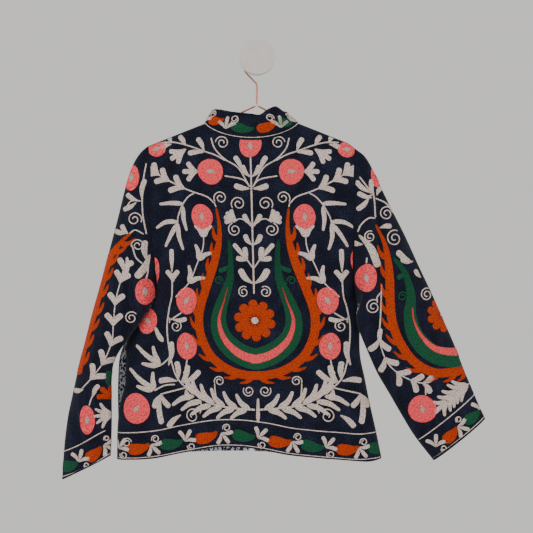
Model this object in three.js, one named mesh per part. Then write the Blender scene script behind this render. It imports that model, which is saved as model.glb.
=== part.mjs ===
// Hip-length embroidered denim jacket on a copper wire hanger, hung from a round wall knob.
// The front faces the wall and the back faces the room, which is -Y. Millimetres, +Z up.
// The origin is the centre of the knob's flat back, on the wall. X below 0 is the wearer's left.

import * as THREE from "three";

// Cloth
const WALL = 2; // denim with its embroidery and lining
const LINING_WALL = 1;
const LINING_INSET = 0.08; // of the last column and row of the front's grid
const SEAM_GAP = 0.3; // between two pieces that are sewn to each other
const COLLAR_LIFT = 0.7; // the collar's foot turns a tight corner, so it stands a little clearer

// Body of the jacket
const HANG_Y = -22; // plane of the hanger and of the shoulder seams
const CENTRE_X = -10; // middle of the neck
const NECK_HALF = 88; // half the width of the neck at the shoulder seams
const BACK_NECK_DROP = 30; // how far the back neck lies below the neck points
const FRONT_NECK_DROP = 95;
const FRONT_GAP = 8; // between the two front edges
const NECK_TURN = { back: 6, front: 150 }; // how sharply the neck seam turns over the shoulder
const SHOULDER_TOP_Z = -84; // where the two shoulder slopes would meet
const SHOULDER_SLOPE = 0.41;
const SHOULDER_ROUND = 30;
const DROOP_START_X = 165; // past the hanger's right end the shoulder droops
const DROOP = 0.015;
const RIDGE = 7; // radius of the fold over the hanger's arms
const SIDE_ROUND = 45; // width of the rounding at a side seam
const SEAM_SINK = 0.7; // share of the depth that is left at the armhole seam
const CALM = { shoulder: 40, side: 20 }; // folds start this far from the shoulder and side seams
const UNDERARM_Z = -450;
const LOWEST_Z = -750; // the edge tables end here, just below the hem
const UNDERARM_EASE = 70;

// How far the cloth stands off the hanger's plane: a yoke near the shoulder, then a slow belly.
const BACK_DEPTH = { yoke: 12, yokeOver: 100, belly: 16, bellyOver: 420 };
const FRONT_DEPTH = { yoke: 4, yokeOver: 120, belly: 2, bellyOver: 420 };

// Outer edges of the body from the shoulder tip down the armhole and the side seam to the hem.
// x of the back and front panels, and how far their edges part from the hanger's plane.
const LEFT_EDGE = [
  { z: -164.9, back: -205, front: -205, backY: 0, frontY: 0 },
  { z: -211, back: -200, front: -200, backY: 0, frontY: 0 },
  { z: -311, back: -197, front: -197, backY: 0, frontY: 0 },
  { z: -380, back: -191, front: -191, backY: -1, frontY: -1 },
  { z: -425, back: -187, front: -187, backY: -2, frontY: -2 },
  { z: -450, back: -191, front: -191, backY: -2, frontY: -2 },
  { z: -462, back: -202, front: -202, backY: -2, frontY: -2 },
  { z: -477, back: -213, front: -213, backY: -2, frontY: -2 },
  { z: -505, back: -233, front: -233, backY: -2, frontY: -2 },
  { z: -530, back: -243, front: -247, backY: -4, frontY: -1 },
  { z: -560, back: -244, front: -257, backY: -9, frontY: 2 },
  { z: -605, back: -245, front: -260, backY: -12, frontY: 3 },
  { z: -645, back: -255, front: -260, backY: -9, frontY: 2 },
  { z: -690, back: -260, front: -259, backY: -6, frontY: 1 },
  { z: -750, back: -261, front: -258, backY: -5, frontY: 0 },
];
const RIGHT_EDGE = [
  { z: -169.4, back: 184, front: 184, backY: 0, frontY: 0 },
  { z: -240, back: 181, front: 181, backY: 0, frontY: 0 },
  { z: -330, back: 180, front: 180, backY: 0, frontY: 0 },
  { z: -411, back: 179, front: 179, backY: -1, frontY: -1 },
  { z: -450, back: 183, front: 183, backY: -2, frontY: -2 },
  { z: -463, back: 190, front: 190, backY: -2, frontY: -2 },
  { z: -485, back: 191, front: 191, backY: -2, frontY: -2 },
  { z: -513, back: 191, front: 191, backY: -2, frontY: -2 },
  { z: -556, back: 192.5, front: 192.5, backY: -3, frontY: -1 },
  { z: -598, back: 201, front: 200, backY: -5, frontY: 0 },
  { z: -641, back: 209.5, front: 208, backY: -6, frontY: 0 },
  { z: -692, back: 221, front: 219, backY: -6, frontY: 0 },
  { z: -750, back: 233, front: 230, backY: -5, frontY: 0 },
];

// Height of the two hems from side to side.
const HEM = [
  { x: -262, back: -747, front: -746 },
  { x: -186, back: -742, front: -742 },
  { x: -149, back: -735, front: -738 },
  { x: -110, back: -727, front: -736 },
  { x: -71, back: -721, front: -735 },
  { x: -25, back: -722, front: -735 },
  { x: 6, back: -726, front: -736 },
  { x: 62, back: -737, front: -740 },
  { x: 147, back: -744, front: -745 },
  { x: 204, back: -749, front: -746 },
  { x: 233, back: -745, front: -744 },
];

// Sleeves from the armhole to the cuff: the outer and inner edges of each cross-section, and how
// far it swells towards the room and towards the wall.
const LEFT_SLEEVE = [
  { ox: -205, oy: -22, oz: -165, ix: -191, iy: -24, iz: -450, room: 17, wall: 12 },
  { ox: -219, oy: -22, oz: -178, ix: -199, iy: -34, iz: -456, room: 23, wall: 13 },
  { ox: -233, oy: -23, oz: -202, ix: -203, iy: -44, iz: -462, room: 26, wall: 13 },
  { ox: -246, oy: -24, oz: -243, ix: -204, iy: -50, iz: -467, room: 28, wall: 13 },
  { ox: -260, oy: -25, oz: -300, ix: -205, iy: -52, iz: -473, room: 30, wall: 14 },
  { ox: -275, oy: -26, oz: -358, ix: -208, iy: -53, iz: -481, room: 31, wall: 15 },
  { ox: -291, oy: -27, oz: -420, ix: -215, iy: -52, iz: -492, room: 31, wall: 16 },
  { ox: -307, oy: -28, oz: -478, ix: -229, iy: -52, iz: -511, room: 31, wall: 17 },
  { ox: -320, oy: -29, oz: -530, ix: -247, iy: -50, iz: -535, room: 31, wall: 18 },
  { ox: -332, oy: -30, oz: -576, ix: -264, iy: -47, iz: -565, room: 30, wall: 18 },
  { ox: -342, oy: -31, oz: -622, ix: -269, iy: -44, iz: -602, room: 29, wall: 18 },
  { ox: -351, oy: -32, oz: -664, ix: -269, iy: -42, iz: -641, room: 27, wall: 17 },
  { ox: -357, oy: -33, oz: -710, ix: -269, iy: -41, iz: -682, room: 25, wall: 16 },
  { ox: -360, oy: -34, oz: -748, ix: -270, iy: -40, iz: -713, room: 23, wall: 15 },
  { ox: -362, oy: -35, oz: -784, ix: -271, iy: -39, iz: -739, room: 21, wall: 14 },
];
const RIGHT_SLEEVE = [
  { ox: 184, oy: -22, oz: -169, ix: 183, iy: -24, iz: -450, room: 17, wall: 12 },
  { ox: 202, oy: -22, oz: -184, ix: 190, iy: -34, iz: -456, room: 23, wall: 13 },
  { ox: 218, oy: -23, oz: -212, ix: 191, iy: -44, iz: -462, room: 26, wall: 13 },
  { ox: 235, oy: -24, oz: -249, ix: 188, iy: -50, iz: -468, room: 28, wall: 13 },
  { ox: 254, oy: -25, oz: -288, ix: 184, iy: -52, iz: -476, room: 30, wall: 14 },
  { ox: 277, oy: -26, oz: -334, ix: 183, iy: -52, iz: -487, room: 31, wall: 15 },
  { ox: 301, oy: -27, oz: -387, ix: 187, iy: -50, iz: -503, room: 31, wall: 16 },
  { ox: 325, oy: -28, oz: -438, ix: 195, iy: -49, iz: -524, room: 31, wall: 16 },
  { ox: 347, oy: -29, oz: -488, ix: 207, iy: -47, iz: -552, room: 30, wall: 16 },
  { ox: 367, oy: -30, oz: -534, ix: 223, iy: -45, iz: -587, room: 29, wall: 16 },
  { ox: 385, oy: -31, oz: -581, ix: 246, iy: -43, iz: -626, room: 27, wall: 16 },
  { ox: 398, oy: -32, oz: -612, ix: 268, iy: -42, iz: -664, room: 25, wall: 15 },
  { ox: 411, oy: -33, oz: -643, ix: 292, iy: -41, iz: -703, room: 22, wall: 14 },
  { ox: 424, oy: -34, oz: -671, ix: 327, iy: -40, iz: -748, room: 19, wall: 13 },
];
const CAP_SHARE = 0.18; // share of the sleeve over which the armhole's shape fades out
const CAP_CALM = 0.08; // share of the sleeve below the armhole that has no folds yet

// Folds, each a soft trough (or a ridge, where depth is below 0) along a line from a to b.
const BACK_FOLDS = [
  { ax: -184, az: -400, bx: -214, bz: -660, width: 15, depth: 6 },
  { ax: -176, az: -420, bx: -118, bz: -600, width: 16, depth: 3.5 },
  { ax: 168, az: -420, bx: 182, bz: -640, width: 14, depth: 4 },
  { ax: -150, az: -600, bx: -158, bz: -860, width: 26, depth: 5 },
  { ax: -96, az: -560, bx: -92, bz: -880, width: 26, depth: -4 },
  { ax: 44, az: -600, bx: 52, bz: -860, width: 30, depth: 4 },
  { ax: 124, az: -560, bx: 140, bz: -880, width: 26, depth: -4 },
  { ax: 176, az: -580, bx: 196, bz: -880, width: 18, depth: 4 },
  { ax: -150, az: -168, bx: -158, bz: -330, width: 14, depth: 2.5 },
  { ax: 138, az: -168, bx: 146, bz: -330, width: 14, depth: 2.5 },
];
const FRONT_FOLDS = [
  { ax: -176, az: -420, bx: -120, bz: -640, width: 18, depth: 3 },
  { ax: 168, az: -420, bx: 110, bz: -640, width: 18, depth: 3 },
  { ax: -130, az: -600, bx: -150, bz: -880, width: 24, depth: 3 },
  { ax: 100, az: -600, bx: 120, bz: -880, width: 24, depth: 3 },
];
const LEFT_SLEEVE_FOLDS = [
  { ax: -270, az: -262, bx: -200, bz: -350, width: 12, depth: 3 },
  { ax: -296, az: -396, bx: -206, bz: -452, width: 12, depth: 4 },
  { ax: -322, az: -500, bx: -236, bz: -540, width: 12, depth: 4.5 },
  { ax: -344, az: -596, bx: -270, bz: -560, width: 11, depth: 4 },
  { ax: -352, az: -618, bx: -322, bz: -738, width: 10, depth: 5 },
  { ax: -296, az: -640, bx: -322, bz: -742, width: 10, depth: 4 },
  { ax: -282, az: -600, bx: -280, bz: -780, width: 9, depth: 4 },
];
const RIGHT_SLEEVE_FOLDS = [
  { ax: 220, az: -190, bx: 236, bz: -540, width: 10, depth: 9 },
  { ax: 190, az: -470, bx: 262, bz: -560, width: 12, depth: 4 },
  { ax: 218, az: -560, bx: 320, bz: -560, width: 13, depth: 4 },
  { ax: 300, az: -440, bx: 262, bz: -540, width: 13, depth: 3.5 },
  { ax: 372, az: -560, bx: 300, bz: -640, width: 14, depth: 3 },
];

// Collar: top edge of the standing band, from the left front edge round the back to the right.
const COLLAR_TOP = [
  { at: -1, x: -15, y: -17, z: -176 },
  { at: -0.85, x: -38, y: -16, z: -164 },
  { at: -0.68, x: -66, y: -15, z: -136 },
  { at: -0.56, x: -82, y: -19, z: -107 },
  { at: -0.5, x: -86, y: -25, z: -101 },
  { at: -0.42, x: -77, y: -38, z: -97 },
  { at: -0.2, x: -46, y: -46, z: -102.5 },
  { at: 0, x: -10, y: -48, z: -106.5 },
  { at: 0.09, x: 5, y: -48, z: -108 },
  { at: 0.2, x: 20, y: -46, z: -98 },
  { at: 0.31, x: 35, y: -41, z: -92 },
  { at: 0.42, x: 47, y: -33, z: -99 },
  { at: 0.5, x: 56, y: -24, z: -102 },
  { at: 0.6, x: 47, y: -17, z: -113 },
  { at: 0.8, x: 24, y: -15, z: -152 },
  { at: 1, x: -5, y: -17, z: -176 },
];

// Hanger: one copper wire, in four lengths
const WIRE_R = 1.6;
const HOOK_R = 24.5; // the loop's centreline
const HOOK_END = -15; // degrees, where the loop's free end stops
const HOOK_LEAVES = 228; // degrees, where the loop runs into the straight shank
const SHANK_TOP_Z = -50;
const SHANK_END_Z = -89;
const SHANK_X = -0.5;
const ARM_REACH = 172;
const ARM_DROP = 5.2; // the wire's centre below the shoulder line
const NECK_DROP = 8.5; // and at the neck points, where the collar folds over it
const ARM_SEATED = 30; // from the neck point out to where the arm meets the shoulder
const ARM_SHOWS = { left: { x: -35, z: -104 }, right: { x: 20, z: -98.8 } };
const BAR_DROP = 20; // the bottom bar below the arms' ends
const ARM_BEND = 10;
const BAR_START = 15; // the bar's end, inward from the arm's furthest point

// Wall knob, turned round the Y axis
const KNOB_R = 32.7;
const KNOB_THICK = 12;
const KNOB_EDGE = 1.6;
const STEM_R = 9;
const STEM_END_Y = -27;
const FOOT_R = 20;
const FOOT_THICK = 4;

// Fineness of the faceted walls
const RIDGE_ROWS = 4;
const ARM_ROWS = 8;
const SIDE_ROWS = 12;
const SHOULDER_COLUMNS = 6;
const NECK_COLUMNS = 10;
const FRONT_NECK_COLUMNS = 6;
const NECK_POINT_CROWD = 1.6; // the front neck's columns crowd towards the neck point
const SLEEVE_RINGS = 19;
const COLLAR_ROWS = 3;
const ROUND_SEGMENTS = 40;
const WIRE_SIDES = 8;

const FINISHES = {
  denim: { color: 0x1c203a, roughness: 0.9, metalness: 0 },
  lining: { color: 0xd9dde4, roughness: 0.85, metalness: 0 },
  copper: { color: 0xa86a4c, roughness: 0.35, metalness: 0.9 },
  paintedWood: { color: 0xc6c0b8, roughness: 0.6, metalness: 0 },
};

const clamp = (v) => Math.min(Math.max(v, 0), 1);
const mix = (a, b, t) => a + (b - a) * t;
const ease = (v) => clamp(v) ** 2 * (3 - 2 * clamp(v));
const quarterRound = (v) => Math.sqrt(1 - (1 - clamp(v)) ** 2);

// One column of a table at a key between its rows, on a smooth curve through them.
function readTable(table, key, value, column) {
  const rising = table[table.length - 1][key] > table[0][key];
  const rows = rising ? table : [...table].reverse();
  const last = rows.length - 1;
  const at = Math.min(Math.max(value, rows[0][key]), rows[last][key]);
  let i = 0;
  while (i < last - 1 && rows[i + 1][key] < at) i += 1;
  const slope = (k) => {
    const low = rows[Math.max(k - 1, 0)];
    const high = rows[Math.min(k + 1, last)];
    return (high[column] - low[column]) / (high[key] - low[key]);
  };
  const width = rows[i + 1][key] - rows[i][key];
  const t = (at - rows[i][key]) / width;
  const start = rows[i][column] * (1 + 2 * t) * (1 - t) ** 2 + slope(i) * width * t * (1 - t) ** 2;
  const end = rows[i + 1][column] * t * t * (3 - 2 * t) + slope(i + 1) * width * t * t * (t - 1);
  return start + end;
}

// Height of the shoulder line, which the neck interrupts.
function shoulderZ(x) {
  const droop = DROOP * Math.max(0, x - DROOP_START_X) ** 2;
  return SHOULDER_TOP_Z - SHOULDER_SLOPE * Math.hypot(x - CENTRE_X, SHOULDER_ROUND) - droop;
}

const NECK_POINT_Z = shoulderZ(CENTRE_X - NECK_HALF);

// Places round the neck seam: 0 is the middle of the back, -0.5 and 0.5 the neck points, and
// -1 and 1 the front edges.
function neckSeam(at) {
  const turn = Math.PI * at;
  if (Math.abs(at) <= 0.5) {
    const z = NECK_POINT_Z - BACK_NECK_DROP * Math.cos(turn) ** 1.4;
    return { x: CENTRE_X + NECK_HALF * Math.sin(turn), z };
  }
  const side = Math.sign(at);
  const x = CENTRE_X + side * mix(FRONT_GAP / 2, NECK_HALF, Math.sin(Math.abs(turn)));
  return { x, z: NECK_POINT_Z - FRONT_NECK_DROP * Math.abs(Math.cos(turn)) ** 1.2 };
}

// Sum of the folds at a place seen from the room.
function foldDepth(folds, x, z) {
  let sum = 0;
  for (const fold of folds) {
    const along = { x: fold.bx - fold.ax, z: fold.bz - fold.az };
    const length = Math.hypot(along.x, along.z);
    const t = ((x - fold.ax) * along.x + (z - fold.az) * along.z) / length ** 2;
    const off = ((x - fold.ax) * along.z - (z - fold.az) * along.x) / length;
    const fade = ease(t / 0.3) * ease((1 - t) / 0.3);
    sum += fold.depth * fade * Math.exp(-((off / fold.width) ** 2));
  }
  return sum;
}

function edgeX(side, panel, z) {
  return readTable(side < 0 ? LEFT_EDGE : RIGHT_EDGE, "z", z, panel);
}

// Distance of a panel's outer face from the wall's plane. The panel stands off the hanger's plane
// by a rise that grows from the shoulder line down, and that rounds away at the side seams.
function panelY(panel, x, z) {
  const shape = panel === "back" ? BACK_DEPTH : FRONT_DEPTH;
  const drop = Math.max(0, shoulderZ(x) - z);
  const rise =
    RIDGE * quarterRound(drop / RIDGE) +
    shape.yoke * ease(drop / shape.yokeOver) +
    shape.belly * ease(drop / shape.bellyOver);
  const left = edgeX(-1, panel, z);
  const right = edgeX(1, panel, z);
  const inset = Math.max(0, Math.min(x - left, right - x));
  const atSeam = SEAM_SINK * ease((z - UNDERARM_Z) / UNDERARM_EASE);
  const round = atSeam + (1 - atSeam) * quarterRound(inset / SIDE_ROUND);
  const nearest = x - left < right - x ? LEFT_EDGE : RIGHT_EDGE;
  const shift = (1 - round) * readTable(nearest, "z", z, panel + "Y");
  const calm = ease(drop / CALM.shoulder) * ease(inset / CALM.side);
  const folds = panel === "back" ? BACK_FOLDS : FRONT_FOLDS;
  const fold = calm * foldDepth(folds, x, z);
  const out = panel === "back" ? -1 : 1;
  return HANG_Y + shift + out * (rise * round - fold);
}

// Turns of the half ring from the shoulder tip (0) to the underarm (PI), closer on the ridge.
const ARM_DROP_LENGTH = LEFT_EDGE[0].z - UNDERARM_Z;
const ARM_TURNS = [];
for (let row = 0; row < RIDGE_ROWS; row += 1) {
  const drop = RIDGE * (1 - Math.cos((row / RIDGE_ROWS) * (Math.PI / 2)));
  ARM_TURNS.push(Math.acos(1 - (2 * drop) / ARM_DROP_LENGTH));
}
const RIDGE_TURN = Math.acos(1 - (2 * RIDGE) / ARM_DROP_LENGTH);
for (let row = 0; row <= ARM_ROWS; row += 1) {
  ARM_TURNS.push(mix(RIDGE_TURN, Math.PI, row / ARM_ROWS));
}
const turnShare = (turn) => (1 - Math.cos(turn)) / 2;

// Point of the armhole seam on one side of the body, and the direction of its wall's thickness.
function armhole(side, turn) {
  const panel = turn <= Math.PI ? "back" : "front";
  const table = side < 0 ? LEFT_EDGE : RIGHT_EDGE;
  const z = mix(table[0].z, UNDERARM_Z, turnShare(turn));
  const x = edgeX(side, panel, z);
  const point = new THREE.Vector3(x, panelY(panel, x, z), z);
  const toBody = ease((turnShare(turn) - 0.85) / 0.15);
  const inward = new THREE.Vector3(-side * toBody, Math.sin(turn), -Math.cos(turn)).normalize();
  return { point, inward };
}

// Direction of the wall's thickness at the neck seam, which the panels and the collar share. It
// points into the neck, and at the neck points down and inwards, where the seam crosses the ridge.
function neckInward(at) {
  const turn = Math.PI * at;
  const sharpness = Math.abs(at) > 0.5 ? NECK_TURN.front : NECK_TURN.back;
  const ridge = Math.abs(Math.sin(turn)) ** sharpness;
  const level = Math.sign(Math.cos(turn)) * (1 - ridge);
  return new THREE.Vector3(-Math.sign(at) * ridge, level, -ridge).normalize();
}

// Direction from the neck seam to the collar: up at the middle, inwards at the neck points.
function neckAway(at) {
  const turn = Math.PI * at;
  return new THREE.Vector3(-Math.sign(at) * Math.abs(Math.sin(turn)), 0, Math.abs(Math.cos(turn)));
}

// A wall: outer and inner grids of points joined at their rims into one closed body.
function wallGeometry(outer, inner, ring) {
  const rows = outer.length;
  const columns = outer[0].length;
  const positions = [];
  for (const grid of [outer, inner]) {
    for (const row of grid) {
      for (const point of row) positions.push(point.x, point.y, point.z);
    }
  }
  const outerAt = (i, j) => i * columns + (j % columns);
  const innerAt = (i, j) => rows * columns + outerAt(i, j);
  const indices = [];
  const quad = (a, b, c, d) => indices.push(a, b, c, a, c, d);
  const across = ring ? columns : columns - 1;
  for (let i = 0; i < rows - 1; i += 1) {
    for (let j = 0; j < across; j += 1) {
      quad(outerAt(i, j), outerAt(i + 1, j), outerAt(i + 1, j + 1), outerAt(i, j + 1));
      quad(innerAt(i, j), innerAt(i, j + 1), innerAt(i + 1, j + 1), innerAt(i + 1, j));
    }
    if (!ring) {
      const j = columns - 1;
      quad(outerAt(i, 0), innerAt(i, 0), innerAt(i + 1, 0), outerAt(i + 1, 0));
      quad(outerAt(i + 1, j), innerAt(i + 1, j), innerAt(i, j), outerAt(i, j));
    }
  }
  for (let j = 0; j < across; j += 1) {
    const i = rows - 1;
    quad(outerAt(0, j + 1), innerAt(0, j + 1), innerAt(0, j), outerAt(0, j));
    quad(outerAt(i, j), innerAt(i, j), innerAt(i, j + 1), outerAt(i, j + 1));
  }
  const geometry = new THREE.BufferGeometry();
  geometry.setAttribute("position", new THREE.Float32BufferAttribute(positions, 3));
  geometry.setIndex(indices);
  geometry.computeVertexNormals();
  return geometry;
}

// Unit normals of a grid from the differences of its neighbours, pointing out of the garment.
function gridNormals(grid, ring) {
  const rows = grid.length;
  const columns = grid[0].length;
  return grid.map((row, i) =>
    row.map((point, j) => {
      const up = grid[Math.max(i - 1, 0)][j];
      const down = grid[Math.min(i + 1, rows - 1)][j];
      const before = row[ring ? (j + columns - 1) % columns : Math.max(j - 1, 0)];
      const after = row[ring ? (j + 1) % columns : Math.min(j + 1, columns - 1)];
      const fall = down.clone().sub(up);
      return fall.cross(after.clone().sub(before)).normalize();
    }),
  );
}

// The grid moved towards the inside of the garment, with the seams' own directions where given.
function insideOf(grid, distance, ring, seamDirection) {
  const normals = gridNormals(grid, ring);
  return grid.map((row, i) =>
    row.map((point, j) => {
      const direction = (seamDirection && seamDirection(i, j)) || normals[i][j].clone().negate();
      return point.clone().addScaledVector(direction, distance);
    }),
  );
}

// Columns of the top edge, as x and z, from one end of a panel to the other.
function shoulderColumns(side, from, to, count) {
  return Array.from({ length: count }, (_, k) => {
    const x = mix(from, to, k / count);
    return { x, z: shoulderZ(x), at: side * 0.5, neck: false };
  });
}

// Places along the neck seam where the panels and the collar have their columns.
function backNeckPlaces() {
  return Array.from({ length: NECK_COLUMNS + 1 }, (_, k) => mix(-0.5, 0.5, k / NECK_COLUMNS));
}

function frontNeckPlaces(side) {
  const share = (k) => (k / FRONT_NECK_COLUMNS) ** NECK_POINT_CROWD;
  const count = FRONT_NECK_COLUMNS + 1;
  return Array.from({ length: count }, (_, k) => side * mix(0.5, 1, share(k)));
}

const neckColumns = (places) => places.map((at) => ({ ...neckSeam(at), at, neck: true }));

const LEFT_TIP = LEFT_EDGE[0].back;
const RIGHT_TIP = RIGHT_EDGE[0].back;
const LEFT_NECK_X = CENTRE_X - NECK_HALF;
const RIGHT_NECK_X = CENTRE_X + NECK_HALF;

const BACK_COLUMNS = [
  ...shoulderColumns(-1, LEFT_TIP, LEFT_NECK_X, SHOULDER_COLUMNS),
  ...neckColumns(backNeckPlaces()),
  ...shoulderColumns(1, RIGHT_TIP, RIGHT_NECK_X, SHOULDER_COLUMNS).reverse(),
];
const LEFT_FRONT_COLUMNS = [
  ...shoulderColumns(-1, LEFT_TIP, LEFT_NECK_X, SHOULDER_COLUMNS),
  ...neckColumns(frontNeckPlaces(-1)),
];
const RIGHT_FRONT_COLUMNS = [
  ...neckColumns(frontNeckPlaces(1)).reverse(),
  ...shoulderColumns(1, RIGHT_TIP, RIGHT_NECK_X, SHOULDER_COLUMNS).reverse(),
];

// Heights down one column: the rows of the armhole, then the rows of the side seam to the hem.
function columnHeights(topZ, hemZ) {
  const heights = ARM_TURNS.map((turn) => mix(topZ, UNDERARM_Z, turnShare(turn)));
  for (let row = 1; row <= SIDE_ROWS; row += 1) {
    heights.push(mix(UNDERARM_Z, hemZ, row / SIDE_ROWS));
  }
  return heights;
}

// Outer points of a panel between its two long edges, a row for each height.
function panelGrid(panel, columns, leftX, rightX) {
  const rowCount = ARM_TURNS.length + SIDE_ROWS;
  const away = panel === "back" ? -1 : 1;
  const grid = Array.from({ length: rowCount }, () => []);
  for (const column of columns) {
    const left = leftX(column.z);
    const share = clamp((column.x - left) / (rightX(column.z) - left));
    const hemX = mix(leftX(LOWEST_Z), rightX(LOWEST_Z), share);
    const hemZ = readTable(HEM, "x", hemX, panel);
    columnHeights(column.z, hemZ).forEach((z, i) => {
      const x = mix(leftX(z), rightX(z), share);
      const y = panelY(panel, x, z) + (away * SEAM_GAP) / 2;
      grid[i].push(new THREE.Vector3(x, y, z));
    });
  }
  return grid;
}

// Direction of the wall at a panel's seams: armhole, side seam, neck and shoulder.
function panelSeams(columns, leftIsSeam, rightIsSeam, front) {
  const lastColumn = columns.length - 1;
  return (i, j) => {
    const side = j === 0 && leftIsSeam ? -1 : j === lastColumn && rightIsSeam ? 1 : 0;
    if (side !== 0 && i < ARM_TURNS.length) {
      const turn = front ? 2 * Math.PI - ARM_TURNS[i] : ARM_TURNS[i];
      return armhole(side, turn).inward;
    }
    if (side !== 0) return new THREE.Vector3(-side, 0, 0);
    if (i === 0) return columns[j].neck ? neckInward(columns[j].at) : new THREE.Vector3(0, 0, -1);
    return null;
  };
}

function flipped(grid) {
  return grid.map((row) => [...row].reverse());
}

// Each panel is seen from outside with its first column on the left.
function makeBack() {
  const leftX = (z) => edgeX(-1, "back", z) + SEAM_GAP / 2;
  const rightX = (z) => edgeX(1, "back", z) - SEAM_GAP / 2;
  const outer = panelGrid("back", BACK_COLUMNS, leftX, rightX);
  const inner = insideOf(outer, WALL, false, panelSeams(BACK_COLUMNS, true, true, false));
  return wallGeometry(outer, inner, false);
}

function frontOuter(side) {
  const middle = CENTRE_X + (side * FRONT_GAP) / 2;
  if (side < 0) {
    const leftX = (z) => edgeX(-1, "front", z) + SEAM_GAP / 2;
    return panelGrid("front", LEFT_FRONT_COLUMNS, leftX, () => middle);
  }
  const rightX = (z) => edgeX(1, "front", z) - SEAM_GAP / 2;
  return panelGrid("front", RIGHT_FRONT_COLUMNS, () => middle, rightX);
}

function frontWall(side, near, far) {
  const columns = side < 0 ? LEFT_FRONT_COLUMNS : RIGHT_FRONT_COLUMNS;
  const grid = frontOuter(side);
  const seams = panelSeams(columns, side < 0, side > 0, true);
  const mirrored = flipped(grid);
  const last = columns.length - 1;
  const mirroredSeams = (i, j) => seams(i, last - j);
  const outer = near === 0 ? mirrored : insideOf(mirrored, near, false, mirroredSeams);
  return { outer, inner: insideOf(mirrored, far, false, mirroredSeams) };
}

function makeFront(side) {
  const { outer, inner } = frontWall(side, 0, WALL);
  return wallGeometry(outer, inner, false);
}

// The front's lining from the underarm down, a little inside the front's side, middle and hem.
function makeLining(side) {
  const near = WALL + SEAM_GAP;
  const { outer, inner } = frontWall(side, near, near + LINING_WALL);
  return wallGeometry(liningGrid(outer), liningGrid(inner), false);
}

function liningGrid(grid) {
  const rows = grid.slice(ARM_TURNS.length);
  const inset = rows.map((row) => {
    const last = row.length - 1;
    const inner = row.slice(1, -1);
    const first = row[0].clone().lerp(row[1], LINING_INSET);
    return [first, ...inner, row[last].clone().lerp(row[last - 1], LINING_INSET)];
  });
  const hem = inset.length - 1;
  inset[hem] = inset[hem].map((point, j) => point.clone().lerp(inset[hem - 1][j], LINING_INSET));
  return inset;
}

// One cross-section of a sleeve, without the armhole's own shape.
function sleeveSection(table, share, turn) {
  const rows = table.map((row, k) => ({ ...row, k: k / (table.length - 1) }));
  const read = (column) => readTable(rows, "k", share, column);
  const c = turnShare(turn);
  const swell = Math.sin(turn) >= 0 ? read("room") : read("wall");
  return new THREE.Vector3(
    mix(read("ox"), read("ix"), c),
    mix(read("oy"), read("iy"), c) - swell * Math.sin(turn),
    mix(read("oz"), read("iz"), c),
  );
}

// Outer point of a sleeve: the section plus what is left of the armhole's shape, and its folds.
function sleevePoint(side, share, turn) {
  const table = side < 0 ? LEFT_SLEEVE : RIGHT_SLEEVE;
  const point = sleeveSection(table, share, turn);
  const left = Math.max(0, 1 - share / CAP_SHARE) ** 2;
  const seam = armhole(side, turn).point.sub(sleeveSection(table, 0, turn));
  point.addScaledVector(seam, left);
  const folds = side < 0 ? LEFT_SLEEVE_FOLDS : RIGHT_SLEEVE_FOLDS;
  const calm = ease(share / CAP_CALM) * Math.abs(Math.sin(turn)) ** 0.5;
  const towardsRoom = Math.sin(turn) >= 0 ? 1 : -0.5;
  point.y += towardsRoom * calm * foldDepth(folds, point.x, point.z);
  point.x += (side * SEAM_GAP) / 2;
  return point;
}

function makeSleeve(side) {
  const turns = [...ARM_TURNS];
  for (let k = ARM_TURNS.length - 2; k > 0; k -= 1) turns.push(2 * Math.PI - ARM_TURNS[k]);
  const ordered = side < 0 ? turns : [...turns].reverse();
  const outer = Array.from({ length: SLEEVE_RINGS }, (_, i) =>
    ordered.map((turn) => sleevePoint(side, i / (SLEEVE_RINGS - 1), turn)),
  );
  const seamDirection = (i, j) => (i === 0 ? armhole(side, ordered[j]).inward : null);
  return wallGeometry(outer, insideOf(outer, WALL, true, seamDirection), true);
}

// The collar band stands on the neck seam and leans out to its top edge.
function makeCollar() {
  const leftFront = frontNeckPlaces(-1).reverse().slice(0, -1);
  const places = [...leftFront, ...backNeckPlaces(), ...frontNeckPlaces(1).slice(1)];
  const foot = places.map((at) => {
    const { x, z } = neckSeam(at);
    const panel = Math.abs(at) <= 0.5 ? "back" : "front";
    const onSeam = new THREE.Vector3(x, panelY(panel, x, z), z);
    return onSeam.addScaledVector(neckAway(at), COLLAR_LIFT);
  });
  const top = places.map((at) => {
    const read = (column) => readTable(COLLAR_TOP, "at", at, column);
    return new THREE.Vector3(read("x"), read("y"), read("z"));
  });
  const outer = [];
  for (let row = COLLAR_ROWS; row >= 0; row -= 1) {
    const t = row / COLLAR_ROWS;
    outer.push(foot.map((point, j) => point.clone().lerp(top[j], t)));
  }
  const seamDirection = (i, j) => (i === COLLAR_ROWS ? neckInward(places[j]) : null);
  return wallGeometry(outer, insideOf(outer, WALL, false, seamDirection), false);
}

// A round wire along a smooth path.
function wire(points, steps) {
  const path = new THREE.CatmullRomCurve3(points, false, "centripetal");
  const section = new THREE.Shape();
  for (let k = 0; k < WIRE_SIDES; k += 1) {
    const turn = (2 * Math.PI * k) / WIRE_SIDES;
    const draw = k === 0 ? "moveTo" : "lineTo";
    section[draw](WIRE_R * Math.cos(turn), WIRE_R * Math.sin(turn));
  }
  section.closePath();
  return new THREE.ExtrudeGeometry(section, { steps, extrudePath: path, bevelEnabled: false });
}

const onHanger = (x, z) => new THREE.Vector3(x, HANG_Y, z);

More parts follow.
